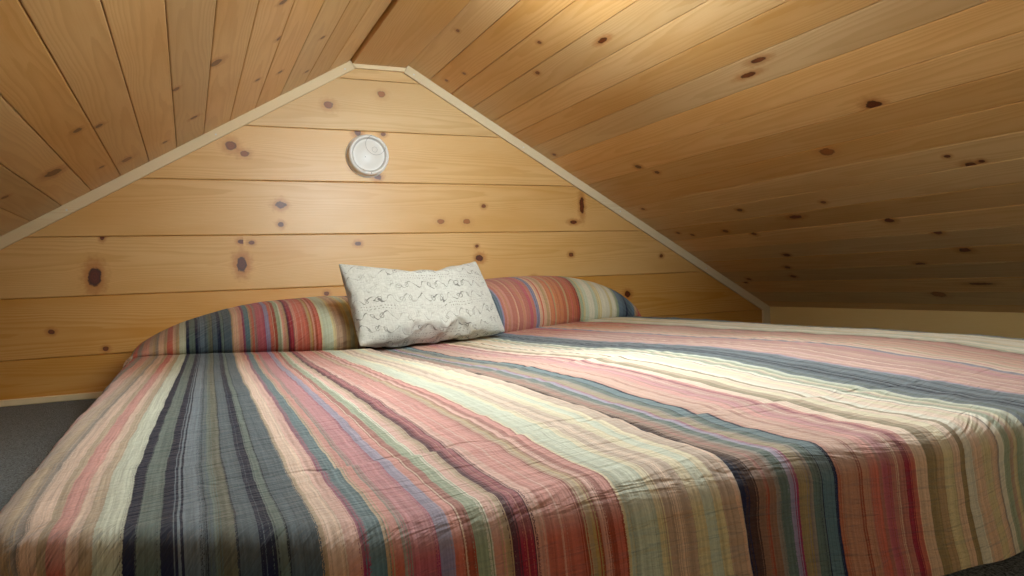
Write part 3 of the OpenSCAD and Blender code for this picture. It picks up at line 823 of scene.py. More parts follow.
# node, name, run of the grain, wood, slot, width of the eased edge, seed, planing
strips = [
    ("rake_trim_left", "rakeStripLeft", down[-1], trimWood, "inside_trim", 0.002, 51, slimStrip),
    ("rake_trim_right", "rakeStripRight", down[1], trimWood, "inside_trim", 0.002, 52, slimStrip),
    ("ridge_trim", "ridgeStrip", runX, trimWood, "inside_trim", 0.0015, 53, slimRidge),
]
for row in strips:
    dressTimber(*row)

# Nail heads in the strips under the slopes: places along them, and depth sunk
nailHeads = {
    "at": [0.120, 0.533, 0.946, 1.360], "down": 0.020, "radius": 0.0029, "high": 0.0016, "sunk": 0.0006,
}
nailY = min(v.co.y for v in bpy.data.objects["rakeStripRight"].data.vertices)
nailY += nailHeads["sunk"] - nailHeads["high"] / 2
heads = []
for side in (-1, 1):
    for x in nailHeads["at"]:
        bpy.ops.mesh.primitive_cylinder_add(
            vertices=12, radius=nailHeads["radius"], depth=nailHeads["high"], rotation=(math.pi / 2, 0, 0),
            location=(side * x, nailY, ceilingZ(x) - nailHeads["down"]))
        heads.append(bpy.context.object)
nails = joinAll(heads, "stripNails")
applyPlace(nails)
nailSteel = newMaterial("nailSteel", rough=0.25)
link(mixColour(noise(inSpace(), 700.0), "fbfaf5", "e9e6dc"), "Base Color")
coat(nails, nailSteel)
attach(nails, "root")

timbers = [
    ("corner_trims", "cornerStrips", runZ, trimWood, "inside_trim", 0.002, 54, slimCorner),
    ("base_trim", "floorStrip", runX, trimWood, "inside_trim", 0.003, 55),
    ("knee_board_left", "kneeBoardLeft", runY, paleWood, "pale_board", 0.0015, 56),
    ("knee_board_right", "kneeBoardRight", runY, paleWood, "pale_board", 0.0015, 57),
    ("ridge_board", "ridgeBoard", runY, (pine, pineEnd), "pale_board", 0.0015, 58, proudRidge),
    ("loft_edge_beam", "loftEdgeBeam", runX, frameWood, "framing", 0.003, 61),
    ("floor_joists", "floorJoists", runX, frameWood, "framing", 0.002, 62),
    ("side_frame_left", "sideFrameLeft", runY, frameWood, "framing", 0.002, 63),
    ("side_frame_right", "sideFrameRight", runY, frameWood, "framing", 0.002, 64),
    ("gable_frame", "gableFrame", runX, frameWood, "framing", 0.001, 65),
    ("ridge_beam", "ridgeBeam", runY, frameWood, "framing", 0.002, 66),
    *[("rafter_pair_%d" % n, "rafterPair%d" % n, runX, frameWood, "framing", 0.002, 66 + n)
      for n in range(1, 6)],
    ("corner_boards", "cornerBoards", runZ, outsideBoards, "outside_trim", 0.003, 81),
    ("eave_fascia_left", "eaveFasciaLeft", runY, outsideBoards, "outside_trim", 0.003, 82),
    ("eave_fascia_right", "eaveFasciaRight", runY, outsideBoards, "outside_trim", 0.003, 83),
    ("barge_board_left", "bargeBoardLeft", down[-1], outsideBoards, "outside_trim", 0.003, 84),
    ("barge_board_right", "bargeBoardRight", down[1], outsideBoards, "outside_trim", 0.003, 85),
    ("eave_soffits", "eaveSoffits", runY, (pine, pineEnd), "pine_lining", 0.001, 86),
]
for row in timbers:
    dressTimber(*row)
print("timbers dressed")

# Plywood decks keep their CAD solids
sheathingLook = {"face": "c9a06a", "vein": "a97c48", "glue": "6b4a2c"}


def plywoodMaterial(name, look):
    material = newMaterial(name, rough=0.7, specular=0.25)
    where = inSpace()
    x, y, z = parts(where)
    waves = noise(vector(y * 1.2, x * 8.0, z), 1.0, 3.0)
    colour = mixColour(calc("SINE", waves * 60.0) * 0.25 + 0.3, look["face"], look["vein"])
    ply = ease(calc("SINE", z * 2400.0), 0.2, 0.8)
    flat = calc("ABSOLUTE", parts(take("NewGeometry", out="Normal"))[2])
    colour = mixColour(ease(flat, 0.6, 0.2) * ply * 0.7, colour, look["glue"])
    return finished(material, colour, noise(where, 160.0, 3.0), 0.0004, 0.5)


plywood = plywoodMaterial("plywoodSheet", sheathingLook)
for name in ("floor_deck", "roof_deck_left", "roof_deck_right"):
    coat(nodes[name], plywood)

# Roofing: coated ribbed sheet and ridge cap
roofLook = {"coat": "35383b", "dust": "5a5d5e", "rough": 0.38}


def roofMaterial(name, look):
    material = newMaterial(name, rough=look["rough"], metallic=0.15, specular=0.5)
    where = inSpace()
    dust = noise(where, 5.0, 4.0, 0.6)
    colour = mixColour(ease(dust, 0.4, 0.8) * 0.35, look["coat"], look["dust"])
    link(dust * 0.25 + (look["rough"] - 0.1), "Roughness")
    return finished(material, colour, noise(where, 900.0, 1.0), 0.00008, 0.5)


roofCoat = roofMaterial("coatedSteel", roofLook)
for name in ("roofing_left", "roofing_right", "ridge_cap"):
    coat(nodes[name], roofCoat)
print("decks and roofing finished")

# Carpet: short pile with small tufts, its front edge turned down
carpetLook = {"dark": "2c3033", "light": "747c7f", "fleck": "a3aaa6"}


def carpetMaterial(name, look):
    material = newMaterial(name, rough=0.95, specular=0.1, sheen=0.25, sheenRough=0.6)
    where = inSpace()
    tufts = take("TexVoronoi", {"Vector": where, "Scale": 330.0}, out="Distance")
    fleck = noise(where, 260.0, 3.0, 0.7)
    colour = mixColour(ease(fleck, 0.42, 0.58), look["dark"], look["light"])
    colour = mixColour(ease(tufts, 0.6, 0.1) * 0.45, colour, look["fleck"])
    colour = mixColour(noise(where, 9.0, 3.0) * 0.3, colour, look["dark"])
    return finished(material, colour, tufts * -1.0 + fleck, 0.003, 0.8)


carpetPile = carpetMaterial("carpetPile", carpetLook)
low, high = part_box("carpet")
carpet = block("carpetSheet", low, high)
startEdit(carpet)
pickFaces(carpet, lambda c, n: n.z > 0.9)
bpy.ops.mesh.inset(thickness=0.004, depth=0.0)
pickFaces(carpet, lambda c, n: n.z > 0.9)
bpy.ops.mesh.subdivide(number_cuts=7)
pickEdges(carpet, lambda a, b: same(min(a.z, b.z), high.z) and same(a.y, low.y) and same(b.y, a.y))
bpy.ops.mesh.bevel(offset=0.0035, segments=3, affect="EDGES")
endEdit()
smooth(carpet)
dress(carpet, carpetPile, "carpet", "carpet")
print("carpet laid")

# Smoke alarm: a mounting plate and a cover turned from its profile
alarm = {
    "place": (-0.055, room["gable"], room["floor"] + 0.744),
    "plate": [(0.0, 0.0), (0.073, 0.0), (0.073, 0.0055), (0.0715, 0.0075), (0.069, 0.008), (0.0, 0.008)],
    "cover": [
        (0.069, 0.008), (0.069, 0.0115), (0.0665, 0.0125), (0.0665, 0.0155), (0.069, 0.0165),
        (0.069, 0.0295), (0.0682, 0.0335), (0.0665, 0.0362), (0.0640, 0.0378), (0.0600, 0.0377),
        (0.0582, 0.0360), (0.0570, 0.0318), (0.0552, 0.0290), (0.0520, 0.0281), (0.0460, 0.0290),
        (0.0340, 0.0318), (0.0180, 0.0340), (0.0, 0.0347),
    ],
    # marks on the cover: across, up, reach, thickness of the line, share of the shade
    "marks": [
        (0.024, 0.034, 0.034, 0.0010, 0.55), (-0.013, -0.008, 0.0, 0.0022, 1.0),
        (0.004, -0.0625, 0.0, 0.0028, 0.8), (0.020, 0.018, 0.009, 0.0008, 0.5),
        # the faint ring round the dish darkens the groove: painted shade
        (0.0, 0.0, 0.0545, 0.0022, 0.35),
    ],
    "steps": 96,
    "shell": "efece4", "shade": "d8d3c8", "ink": "4a4742",
}


def turnProfile(name, profile, steps):
    # a thin strip is spun about Y and its seam and poles are closed
    made = begin(name, bpy.ops.mesh.primitive_plane_add, size=0.001)
    startEdit(made)
    pickParts(made, "VERT", lambda corner: corner.index != 0)
    bpy.ops.mesh.delete(type="VERT")
    shape = bmesh.from_edit_mesh(made.data)
    for corner in shape.verts:
        corner.co = (profile[0][0], -profile[0][1], 0)
    bmesh.update_edit_mesh(made.data)
    bpy.ops.mesh.select_all(action="SELECT")
    for a, b in zip(profile, profile[1:]):
        bpy.ops.mesh.extrude_region_move(TRANSFORM_OT_translate={"value": (b[0] - a[0], a[1] - b[1], 0)})
    bpy.ops.mesh.select_all(action="SELECT")
    bpy.ops.mesh.spin(steps=steps, angle=math.tau, center=(0, 0, 0), axis=(0, 1, 0))
    endEdit()
    faceOut(made, 0.00002)
    return made


def plasticMaterial(name, marks=()):
    material = newMaterial(name, rough=0.38)
    where = inSpace()
    x, _, z = parts(where)
    colour = mixColour(ease(noise(where, 18.0, 3.0), 0.35, 0.8) * 0.4, alarm["shell"], alarm["shade"])
    height = noise(where, 1400.0) * 0.05
    for across, up, reach, line, share in marks:
        far = distance(x - (alarm["place"][0] + across), z - (alarm["place"][2] + up))
        mark = ease(calc("ABSOLUTE", far - reach), line, line * 0.5) * share
        colour = mixColour(mark, colour, alarm["ink"])
        height = height - mark
    return finished(material, colour, height, 0.0008, 0.6)


alarmPieces = [
    ("alarmPlate", "plate", "smoke_alarm_base", plasticMaterial("alarmShell")),
    ("alarmCover", "cover", "smoke_alarm_cover", plasticMaterial("alarmCoverShell", alarm["marks"])),
]
for name, key, node, shell in alarmPieces:
    piece = turnProfile(name, alarm[key], alarm["steps"])
    piece.location = alarm["place"]
    applyPlace(piece)
    smooth(piece, 30)
    dress(piece, shell, "alarm_plastic", node)
print("smoke alarm turned")

# Bed
bed = {
    "head": 1.0855, "foot": -0.9245, "half": 0.762, "top": 0.308, "corner": 0.070, "rest": 0.0003,
    # how far the left corner at the foot is pressed in
    "cornerX": (-0.762, -0.733, -0.691, -0.632), "cornerIn": (0.106, 0.104, 0.086, 0.052),
}


def clothMaterial(name, look):
    material = newMaterial(name, rough=0.9, specular=0.15, sheen=0.2, sheenRough=0.5)
    where = inSpace()
    x, y, z = parts(where)
    weave = calc("SINE", (x + z) * look["weave"]) * calc("SINE", (y - z) * look["weave"])
    worn = noise(where, 12.0, 3.0)
    colour = mixColour(worn * 0.5, look["base"], look["shade"])
    return finished(material, colour, weave + worn * 2.0, 0.0004, 0.5)


ticking = clothMaterial("mattressTicking", {"base": "e8e5dd", "shade": "d6d2c8", "weave": 2600.0})
pillowCotton = clothMaterial("pillowCotton", {"base": "efede6", "shade": "dcd8ce", "weave": 3200.0})

# Mattress: a soft block with piped edges
lowCorner = (-bed["half"], bed["foot"], room["floor"])
mattress = block("mattressPad", lowCorner, (bed["half"], bed["head"], bed["top"]))
startEdit(mattress)
pickEdges(mattress, lambda a, b: same(a.x, b.x) and same(a.y, b.y))
bpy.ops.mesh.bevel(offset=bed["corner"], segments=8, affect="EDGES")
pickEdges(mattress, lambda a, b: same(a.z, b.z))
bpy.ops.mesh.bevel(offset=0.028, segments=5, affect="EDGES")
endEdit()
for corner in mattress.data.vertices:
    if corner.co.x < -0.5 and corner.co.y < bed["foot"] + 0.10:
        corner.co.y += float(np.interp(corner.co.x, bed["cornerX"], bed["cornerIn"]))
smooth(mattress, 50)
dress(mattress, ticking, "mattress_ticking", "mattress")

# Quilt: one sheet over the mattress and pillows. u runs across it and v
# along it, both in metres of cloth.
quilt = {
    "topU": 0.694, "topV": 1.942, "turn": 0.016, "thick": 0.008, "solid": 0.012,
    "sideDrop": 0.114, "footDrop": 0.090,
    # the foot edge draws in at the left corner: X, and how far
    "footCut": [
        (-0.762, 0.100), (-0.733, 0.098), (-0.691, 0.080), (-0.632, 0.046), (-0.564, 0.009),
        (-0.513, 0.0),
    ],
    "flareLeft": 0.095, "flareRight": 0.060, "flareFoot": 0.014,
    # distance of the crease in front of the pillows from the gable
    "crease": [
        (-0.90, 0.50), (-0.76, 0.515), (-0.65, 0.53), (-0.54, 0.586), (-0.43, 0.67), (-0.355, 0.728),
        (-0.282, 0.761), (-0.24, 0.762), (-0.20, 0.755), (-0.10, 0.722), (0.0, 0.690), (0.10, 0.650),
        (0.19, 0.592), (0.343, 0.51), (0.50, 0.45), (0.65, 0.41), (0.78, 0.39), (0.90, 0.38),
    ],
    # height of the cloth over the pillows, above the flat of the bed
    "rise": [
        (-0.90, 0.0), (-0.775, 0.0), (-0.754, 0.017), (-0.725, 0.036), (-0.693, 0.053), (-0.649, 0.071),
        (-0.586, 0.090), (-0.526, 0.104), (-0.456, 0.116), (-0.394, 0.121), (-0.307, 0.125),
        (-0.20, 0.122), (-0.10, 0.110), (0.0, 0.106), (0.10, 0.132), (0.211, 0.151), (0.342, 0.155),
        (0.424, 0.154), (0.529, 0.145), (0.592, 0.135), (0.657, 0.118), (0.71, 0.096), (0.745, 0.070),
        (0.775, 0.036), (0.80, 0.0), (0.9, 0.0),
    ],
    # section over a pillow: way along it, share of the depth and of the height
    "section": [
        (0.0, 0.0, 0.0), (0.08, 0.05, 0.22), (0.18, 0.14, 0.55), (0.30, 0.29, 0.84), (0.42, 0.46, 0.97),
        (0.52, 0.60, 1.0), (0.62, 0.75, 0.96), (0.71, 0.86, 0.85), (0.79, 0.94, 0.66),
        (0.86, 0.985, 0.43), (0.92, 1.0, 0.22), (0.965, 0.993, 0.06), (1.0, 0.980, 0.0),
    ],
    "rollRows": 44, "flatRows": 142,
    # two low mounds of bedding: place and reach, across and along, and height
    "mounds": [(0.107, 1.493, 0.643, 0.337, 0.0192), (0.659, 0.604, 0.323, 0.763, 0.0125)],
    # the fold that runs down the bed: distance from the gable and X
    "fold": [
        (0.80, -0.262), (1.0, -0.259), (1.23, -0.261), (1.48, -0.268), (1.66, -0.260), (1.82, -0.254),
        (1.95, -0.261), (2.1, -0.261),
    ],
    # its section: way across the cloth, place, and share of the height
    "foldU": -0.2535, "foldClear": 0.0135, "lap": 0.008, "bulge": 0.013,
    "lapShape": [
        (-0.010, -0.010, 1.0), (-0.006, -0.0045, 0.97), (-0.003, 0.0, 0.84), (0.0, 0.0012, 0.50),
        (0.003, 0.0002, 0.16), (0.006, 0.004, 0.02), (0.010, 0.010, 0.0),
    ],
    # creases from storage: distance from the gable, from X to X, and height
    "creases": [
        (1.862, -0.64, 0.28, 0.0030), (1.452, -0.40, 0.14, 0.0026), (1.335, 0.33, 0.52, 0.0026),
        (1.12, -0.60, -0.30, 0.0016), (1.20, 0.02, 0.30, 0.0016),
    ],
    # how far the bands have slipped to the right, by place across and along
    "slipAcross": [-0.76, -0.66, -0.55, -0.43, -0.36, -0.25, 0.05, 0.20, 0.35, 0.50, 0.70],
    "slipAlong": [0.50, 0.72, 1.0, 1.43, 1.65, 1.80, 1.95, 2.05],
    "slip": [
        (0.042, 0.042, 0.024, 0.030, 0.014, 0.0, 0.0, -0.045, -0.055, -0.055, -0.055),
        (0.037, 0.035, 0.019, 0.024, 0.010, 0.0, 0.0, -0.012, -0.018, -0.025, -0.025),
        (0.027, 0.025, 0.009, 0.012, 0.004, 0.0, 0.004, 0.014, 0.010, 0.0, 0.0),
        (0.013, 0.012, 0.001, 0.0, 0.0, 0.0, 0.003, 0.014, 0.010, 0.0, 0.0),
        (0.006, 0.005, -0.003, -0.002, 0.0, 0.0, 0.003, 0.008, 0.004, 0.0, 0.0),
        (0.006, 0.001, -0.004, -0.003, 0.0, 0.0, 0.003, 0.004, -0.020, -0.060, -0.060),
        (0.012, 0.003, -0.004, -0.003, 0.0, 0.001, 0.006, 0.006, -0.060, -0.120, -0.120),
        (0.012, 0.002, -0.006, -0.004, 0.0, 0.002, 0.008, 0.008, -0.070, -0.130, -0.130),
    ],
}
stripes = {
    "names": {
        "cream": "c9c1a9", "straw": "c2b184", "blush": "be8570", "salmon": "b6604c", "brick": "95452f",
        "crimson": "8a2232", "rust": "a65e40", "orange": "b5734c", "gold": "a5864e", "tan": "a58862",
        "khaki": "8d7850", "olive": "5c5c4a", "sage": "8d9678", "mint": "b0b49b", "teal": "577076",
        "slate": "48565e", "bluegrey": "5c6b76", "navy": "0d1230", "ink": "1f2634", "lilac": "887c94",
        "mauve": "a9565c", "magenta": "8a2f50", "maroon": "552630", "taupe": "87796c",
        "greygreen": "57665e", "peach": "c29a7c", "bronze": "84604a", "pink": "ba8270", "fawn": "ab8e74",
        "shell": "c9a788", "brown": "43291f", "clay": "b07c60", "rose": "a8695a",
    },
    # each run starts at a place across the cloth, in millimetres: name and width
    "runs": [
        (-960, "fawn 14, taupe 6, peach 14, brick 3, shell 3, blush 12, salmon 7, shell 2, tan 10,"
               "rust 2, blush 12, cream 3, peach 12, brick 3, taupe 8, salmon 8, shell 3, blush 14,"
               "tan 9, rust 2, peach 12, cream 3, salmon 8, taupe 8, blush 14"),
        (-768, "fawn 10, tan 6, taupe 5, peach 14, tan 7, salmon 12, peach 7, tan 8, mint 17"),
        (-682, "navy 9, greygreen 14, navy 10, bluegrey 2, navy 2.5, bluegrey 12, ink 2.5, slate 4,"
               "greygreen 5, olive 9, ink 1.5, slate 14, navy 7, greygreen 6.5, ink 1.5, slate 19"),
        (-562, "tan 3, peach 9, shell 2, blush 10, magenta 3, teal 12, tan 3, salmon 6, taupe 4,"
               "mauve 18, magenta 2, lilac 7, salmon 7, shell 2, brick 7, sage 10, cream 2, blush 6,"
               "tan 7"),
        (-442, "maroon 4, crimson 5, salmon 2, crimson 3, maroon 2, blush 8, salmon 12, blush 2,"
               "salmon 12, brick 3, tan 5, gold 4, brick 2, blush 6, brick 6, salmon 4, brick 4, straw 3"),
        (-355, "mint 22, straw 8, fawn 9, shell 5, fawn 10, straw 10, mint 10, straw 8, fawn 12, peach 3,"
               "fawn 4.5"),
        # the ink, navy and brown that open this run are painted shade along the valley under the fold's lap
        (-253.5, "ink 8, navy 4, brown 9, bronze 7, brick 2, bronze 6, taupe 6, greygreen 8, lilac 6,"
                 "magenta 3, khaki 8, taupe 5, greygreen 9, navy 1.5, teal 12, navy 3.5"),
        (-155.5, "rust 3, clay 5, gold 2, clay 14, brick 3, clay 10, rose 3, salmon 9, rose 4, mauve 8,"
                 "brick 2, rose 6, shell 2, rose 8, crimson 7, salmon 5, shell 7.5"),
        (-57, "shell 6, khaki 12, tan 10, straw 12, shell 10, khaki 4, cream 12, shell 14, straw 10,"
              "shell 8, taupe 3, cream 8, sage 8, fawn 8, straw 4, sage 10, mint 8, bluegrey 8,"
              "greygreen 9, bluegrey 10"),
        (117, "slate 9, navy 3, slate 4, navy 2, bluegrey 5, navy 4, slate 8, ink 1, bluegrey 16,"
              "slate 10, bluegrey 14, lilac 8, rose 12, pink 9"),
        (222, "clay 10, pink 12, rose 22, clay 4, shell 3, rose 22, clay 12, blush 3, rose 20, mauve 16,"
              "clay 3, rose 10, lilac 8, bluegrey 3, lilac 6, bluegrey 2, shell 3, peach 12, salmon 4,"
              "peach 14, tan 12, peach 6, orange 14, salmon 5, tan 8, orange 12, rust 4, orange 14,"
              "rust 14, tan 8, rust 16"),
        (524, "salmon 6, rust 15, brick 10, maroon 3, tan 5"),
        (563, "sage 10, straw 10, mint 16, cream 24, mint 14, straw 18, cream 34, straw 10, cream 22,"
              "sage 10"),
        (731, "bluegrey 18, slate 14, navy 4, slate 18, bluegrey 14, tan 8, salmon 20, brick 12, cream 3,"
              "salmon 26, mauve 20, brick 40"),
    ],
    # the last two values below set how far the top of the spread is paled, more to the right: painted
    # highlight
    "thread": 0.0009, "stray": 0.0019, "fade": 0.36, "sheenPaleRight": 0.06,
}


def stripeColour(u):
    # one ramp for each run of bands, one after the other across the cloth
    colour = None
    for k, (start, text) in enumerate(stripes["runs"]):
        bands = [part.split() for part in text.split(",")]
        at = start / 1000
        wide = sum(float(band) / 1000 for _, band in bands)
        if k + 1 < len(stripes["runs"]):
            wide = stripes["runs"][k + 1][0] / 1000 - at
        fac = take("MapRange", {"Value": u, "From Min": at, "From Max": at + wide})
        ramp = addNode("ValToRGB", {"Fac": fac})
        ramp.color_ramp.interpolation = "CONSTANT"
        marks = ramp.color_ramp.elements
        spot = 0.0
        for place, (name, band) in enumerate(bands):
            reach = min(spot / wide, 1.0)
            mark = marks[place] if place < 2 else marks.new(reach)
            mark.position = reach
            mark.color = paint(stripes["names"][name])
            spot += float(band) / 1000
        run = Value(ramp.outputs[0])
        colour = mixColour(calc("GREATER_THAN", u, at), colour, run) if colour else run
    return colour


def quiltMaterial(name):
    material = newMaterial(name, rough=0.85, specular=0.2, sheen=0.12, sheenRough=0.5)
    u, v, _ = parts(take("UVMap", uv_map="cloth"))
    # the bands wander over a hand's width, and each thread may stray from its band
    wander = u + (cloud(u * 40.0, v * 12.0) - 0.5) * 0.004
    dice = addNode("TexWhiteNoise", {"W": calc("FLOOR", wander / stripes["thread"])}, noise_dimensions="1D")
    stray = (Value(dice.outputs["Value"]) * 2.0 - 1.0) * stripes["stray"]
    ragged = (cloud(u * 900.0, v * 1500.0) - 0.5) * 0.0035
    colour = stripeColour(wander + stray + ragged)
    # threads of lighter and darker yarn along the bands, and slubs of weft across them
    yarn = parts(Value(dice.outputs["Color"]))
    weft = cloud(u * 420.0, v * 520.0)
    tone = yarn[1] * 0.24 + cloud(u * 260.0, v * 5.0, 3.0) * 0.70 + weft * 0.34
    # painted highlight: the top of the spread is paled and lightened, more to the right, in place of the
    # sheen and strong light on it
    x, y, z = parts(inSpace())
    flat = ease(v, 0.75, 1.1) * ease(z, bed["top"] - 0.012, bed["top"] + 0.006)
    fade = ease(x, -0.45, 0.10, stripes["fade"], stripes["fade"] + stripes["sheenPaleRight"])
    colour = take("HueSaturation", {"Saturation": 1.0 - flat * fade, "Color": colour})
    tone = tone + flat * (cloud(u * 3.0, v * 3.0, 3.0) * 0.20) + 0.36
    colour = mixColour(1.0, colour, vector(tone, tone, tone), "MULTIPLY")
    # fine puckers run across the bands, with longer wrinkles through them
    fine = cloud(u * 26.0, v * 210.0, 3.0, 0.6, 0.6)
    pucker = cloud(u * 14.0, v * 80.0, 3.0, 0.55, 0.8)
    height = fine * 0.35 + pucker + cloud(u * 130.0, v * 9.0) * 0.30 + weft * 0.06
    for centre, left, right, deep in quilt["creases"]:
        waver = cloud(x * 14.0, centre) * 0.04 - 0.02
        off = y - (room["gable"] - centre) + waver
        line = ease(calc("ABSOLUTE", off), 0.005, 0.0)
        reach = ease(x, left - 0.02, left + 0.06) * ease(x, right + 0.02, right - 0.06)
        broken = ease(cloud(x * 30.0, centre, 1.0), 0.40, 0.58)
        height = height - line * reach * broken * (deep * 180.0)
    return finished(material, colour, height, 0.0075, 0.9)


def crownAt(x, back):
    # height of the bedding's crown, at a distance from the head of the bed
    crown = 0.0
    for px, py, wide, long, high in quilt["mounds"]:
        crown = crown + high * np.exp(-((x - px) / wide) ** 2 - ((back - py) / long) ** 2)
    return crown


def slipAt(x, away):
    marks = [np.interp(x, quilt["slipAcross"], row) for row in quilt["slip"]]
    return np.interp(away, quilt["slipAlong"], marks)


def reliefAt(u, along, away, x):
    # soft puckers and the storage creases, as a height on the cloth
    height = 0.0022 * noiseAt((u * 7.0, along * 9.0, 1.0))
    height += 0.0017 * noiseAt((u * 15.0, along * 44.0, 4.0))
    for centre, left, right, deep in quilt["creases"]:
        near = away - centre - 0.012 * noiseAt((x * 8.0, centre * 9.0, 7.0))
        if left < x < right and abs(near) < 0.06:
            fade = min(1.0, (x - left) / 0.05, (right - x) / 0.05)
            fade = fade * (0.6 + 0.8 * noiseAt((x * 16.0, centre, 2.0)))
            ridge = 0.9 * math.exp(-((near - 0.014) / 0.012) ** 2)
            height += deep * fade * (ridge - math.exp(-(near / 0.010) ** 2))
    return height


def makeQuilt():
    q = quilt
    foldU = q["foldU"]
    corner = bed["corner"]
    turnEdge = q["turn"]
    flat = corner - turnEdge
    turnLong = turnEdge * math.pi / 2
    topLong = flat + turnLong
    off = bed["rest"] + q["solid"]
    edgeSteps = list(np.linspace(0, flat, 5)[1:]) + list(np.linspace(flat, topLong, 8)[1:])
    edgeSteps += list(np.linspace(topLong, topLong + q["sideDrop"], 10)[1:])
    right = list(np.linspace(0, q["topU"], 76)[1:]) + [q["topU"] + s for s in edgeSteps]
    # extra columns stand in the fold, whose section the table gives
    lapU = [foldU + part[0] for part in q["lapShape"]]
    lapPush = [part[1] - part[0] for part in q["lapShape"]]
    lapShare = [part[2] for part in q["lapShape"]]
    left = [-u for u in right if abs(u + foldU) > q["foldClear"]] + lapU
    us = np.array(sorted(left) + [0.0] + right)
    rollRows = np.linspace(0, 1, q["rollRows"] + 1)
    flatRows = np.linspace(0, 1, q["flatRows"] + 1)[1:]
    topRows = len(rollRows) + len(flatRows)
    rows = topRows + len(edgeSteps)
    made = begin("stripedQuilt", bpy.ops.mesh.primitive_grid_add, x_subdivisions=len(us) - 1,
                 y_subdivisions=rows - 1, size=1)
    footCut = np.array(q["footCut"])
    section = np.array(q["section"])
    sectionY = curveThrough(section[:, [0, 1]], rollRows)
    sectionZ = curveThrough(section[:, [0, 2]], rollRows)
    spots = np.zeros((rows, len(us), 3))
    cloth = np.zeros((rows, len(us), 2))
    longs = np.zeros(len(us))
    behind = room["gable"] - bed["head"]
    for j, u in enumerate(us):
        # the column's own path on the flat of the bed: distance from the head
        x = math.copysign(min(abs(u), bed["half"]), u) if u else 0.0
        deep = float(curveThrough(q["crease"], x)) - behind
        rise = max(0.0, float(curveThrough(q["rise"], x)))
        tucked = 0.98 + (sectionY - 0.98) * (min(0.020, rise * 0.25) / 0.020)
        under = (sectionY > 0.98) | (rollRows > 0.92) & (sectionY < 1.0)
        away = deep * np.where(under, tucked, sectionY)
        lift = rise * np.clip(sectionZ, 0, 1)
        start = away[-1]
        topV = q["topV"] - float(np.interp(x, footCut[:, 0], footCut[:, 1]))
        flatAway = start + (topV - start) * flatRows
        path = np.concatenate([away, flatAway, [topV] * len(edgeSteps)])
        over = np.concatenate([lift, np.zeros(len(flatRows) + len(edgeSteps))])
        over = over + crownAt(x, path)
        # left of the fold the cloth lies higher, and its edge laps over
        foldX = curveThrough(q["fold"], path + behind)
        share = float(np.interp(u, lapU, lapShare))
        begun = np.clip((path - start) / 0.12, 0, 1)
        high = share * math.exp(-((u - foldU) / 0.16) ** 2)
        dip = 0.0025 * (1 - share) * math.exp(-max(0.0, u - foldU) / 0.05)
        over = over + (q["lap"] * high - dip) * begun
        reach = 0.12 if u < foldU else 0.05
        push = float(np.interp(u, lapU, lapPush))
        push = (push + (foldX - foldU) * math.exp(-((u - foldU) / reach) ** 2)) * begun
        low = (1 - share) * math.exp(-max(0.0, u - foldU) / 0.10)
        way = np.concatenate([[0.0], np.cumsum(np.hypot(np.diff(away), np.diff(lift)))])
        more = way[-1] + (flatAway - start)
        ends = more[-1] + np.array(edgeSteps)
        along = np.concatenate([way, more, ends])
        longs[j] = along[-1]
        slip = slipAt(x, path + behind)
        for i in range(rows):
            dv = edgeSteps[i - topRows] if i >= topRows else 0.0
            du = max(0.0, abs(u) - q["topU"])
            rho = max(du, dv)
            turn = math.atan2(dv, du) if rho > 0 else 0.0
            rho += (math.hypot(du, dv) - rho) * max(0.0, 1 - rho / edgeSteps[-1])
            part = turn / (math.pi / 2)
            drop = q["sideDrop"] + (q["footDrop"] - q["sideDrop"]) * part
            run = rho if rho <= topLong else topLong + (rho - topLong) * drop / q["sideDrop"]
            flare = q["flareLeft"] if u < 0 else q["flareRight"]
            flare = flare + (q["flareFoot"] - flare) * part
            ripple = noiseAt((u * 6.0, path[i] * 6.0, 9.0))
            fine = reliefAt(u, along[i], path[i] + behind, x)
            if i == 0 or rise > 0 and i < len(rollRows):
                fine = fine * min(1.0, i / 6) * 0.7
            if run <= flat:
                out = run
                z = bed["top"] + off + fine
            elif run <= topLong:
                angle = (run - flat) / turnLong * math.pi / 2
                out = flat + (turnEdge + off + fine) * math.sin(angle)
                z = bed["top"] - turnEdge + (turnEdge + off + fine) * math.cos(angle)
            else:
                hang = (run - topLong) / drop
                out = corner + off + flare * hang ** 1.6
                out += (fine + 0.006 * ripple) * min(1.0, hang + 0.3)
                z = bed["top"] - turnEdge - (run - topLong) - 0.004 * ripple * hang
                out += 0.005 * hang * noiseAt((u * 19.0, 3.0, 5.0)) * part
            gone = min(1.0, max(0.0, (run - flat) / (turnLong + drop)))
            if part > 0:
                # on the drop the left of the fold stands out, and the right lies back
                back = min(0.002 + 0.5 * flare * gone, 0.010) * low
                out += (q["bulge"] * high - back) * part * min(1.0, gone * 3)
            px = math.copysign(min(abs(u), q["topU"]) + out * math.cos(turn), u) if u else 0.0
            px += push[i] * (1.0 if turn == 0 else part)
            py = bed["head"] - min(path[i], topV) - out * math.sin(turn)
            spots[i, j] = (px, py, z + over[i] * (1 - gone))
            cloth[i, j] = (u - slip[i], along[i])
    # grid rows run from the low y of the plane, so the foot comes first
    made.data.vertices.foreach_set("co", spots[::-1].ravel())
    layer = made.data.uv_layers[0]
    layer.name = "cloth"
    at = readAll(made.data.loops, "vertex_index", kind=np.int32)
    layer.data.foreach_set("uv", cloth[::-1].reshape(-1, 2)[at].ravel())
    made.data.update()
    return made, spots, (float(us[-1] - us[0]), float(longs.mean()))


quiltPiece, quiltSpots, quiltCut = makeQuilt()
applyStep(quiltPiece, "SOLIDIFY", thickness=quilt["thick"], offset=-1)
smooth(quiltPiece, 60)
dress(quiltPiece, quiltMaterial("stripedCotton"), "quilt_cotton", "quilt")

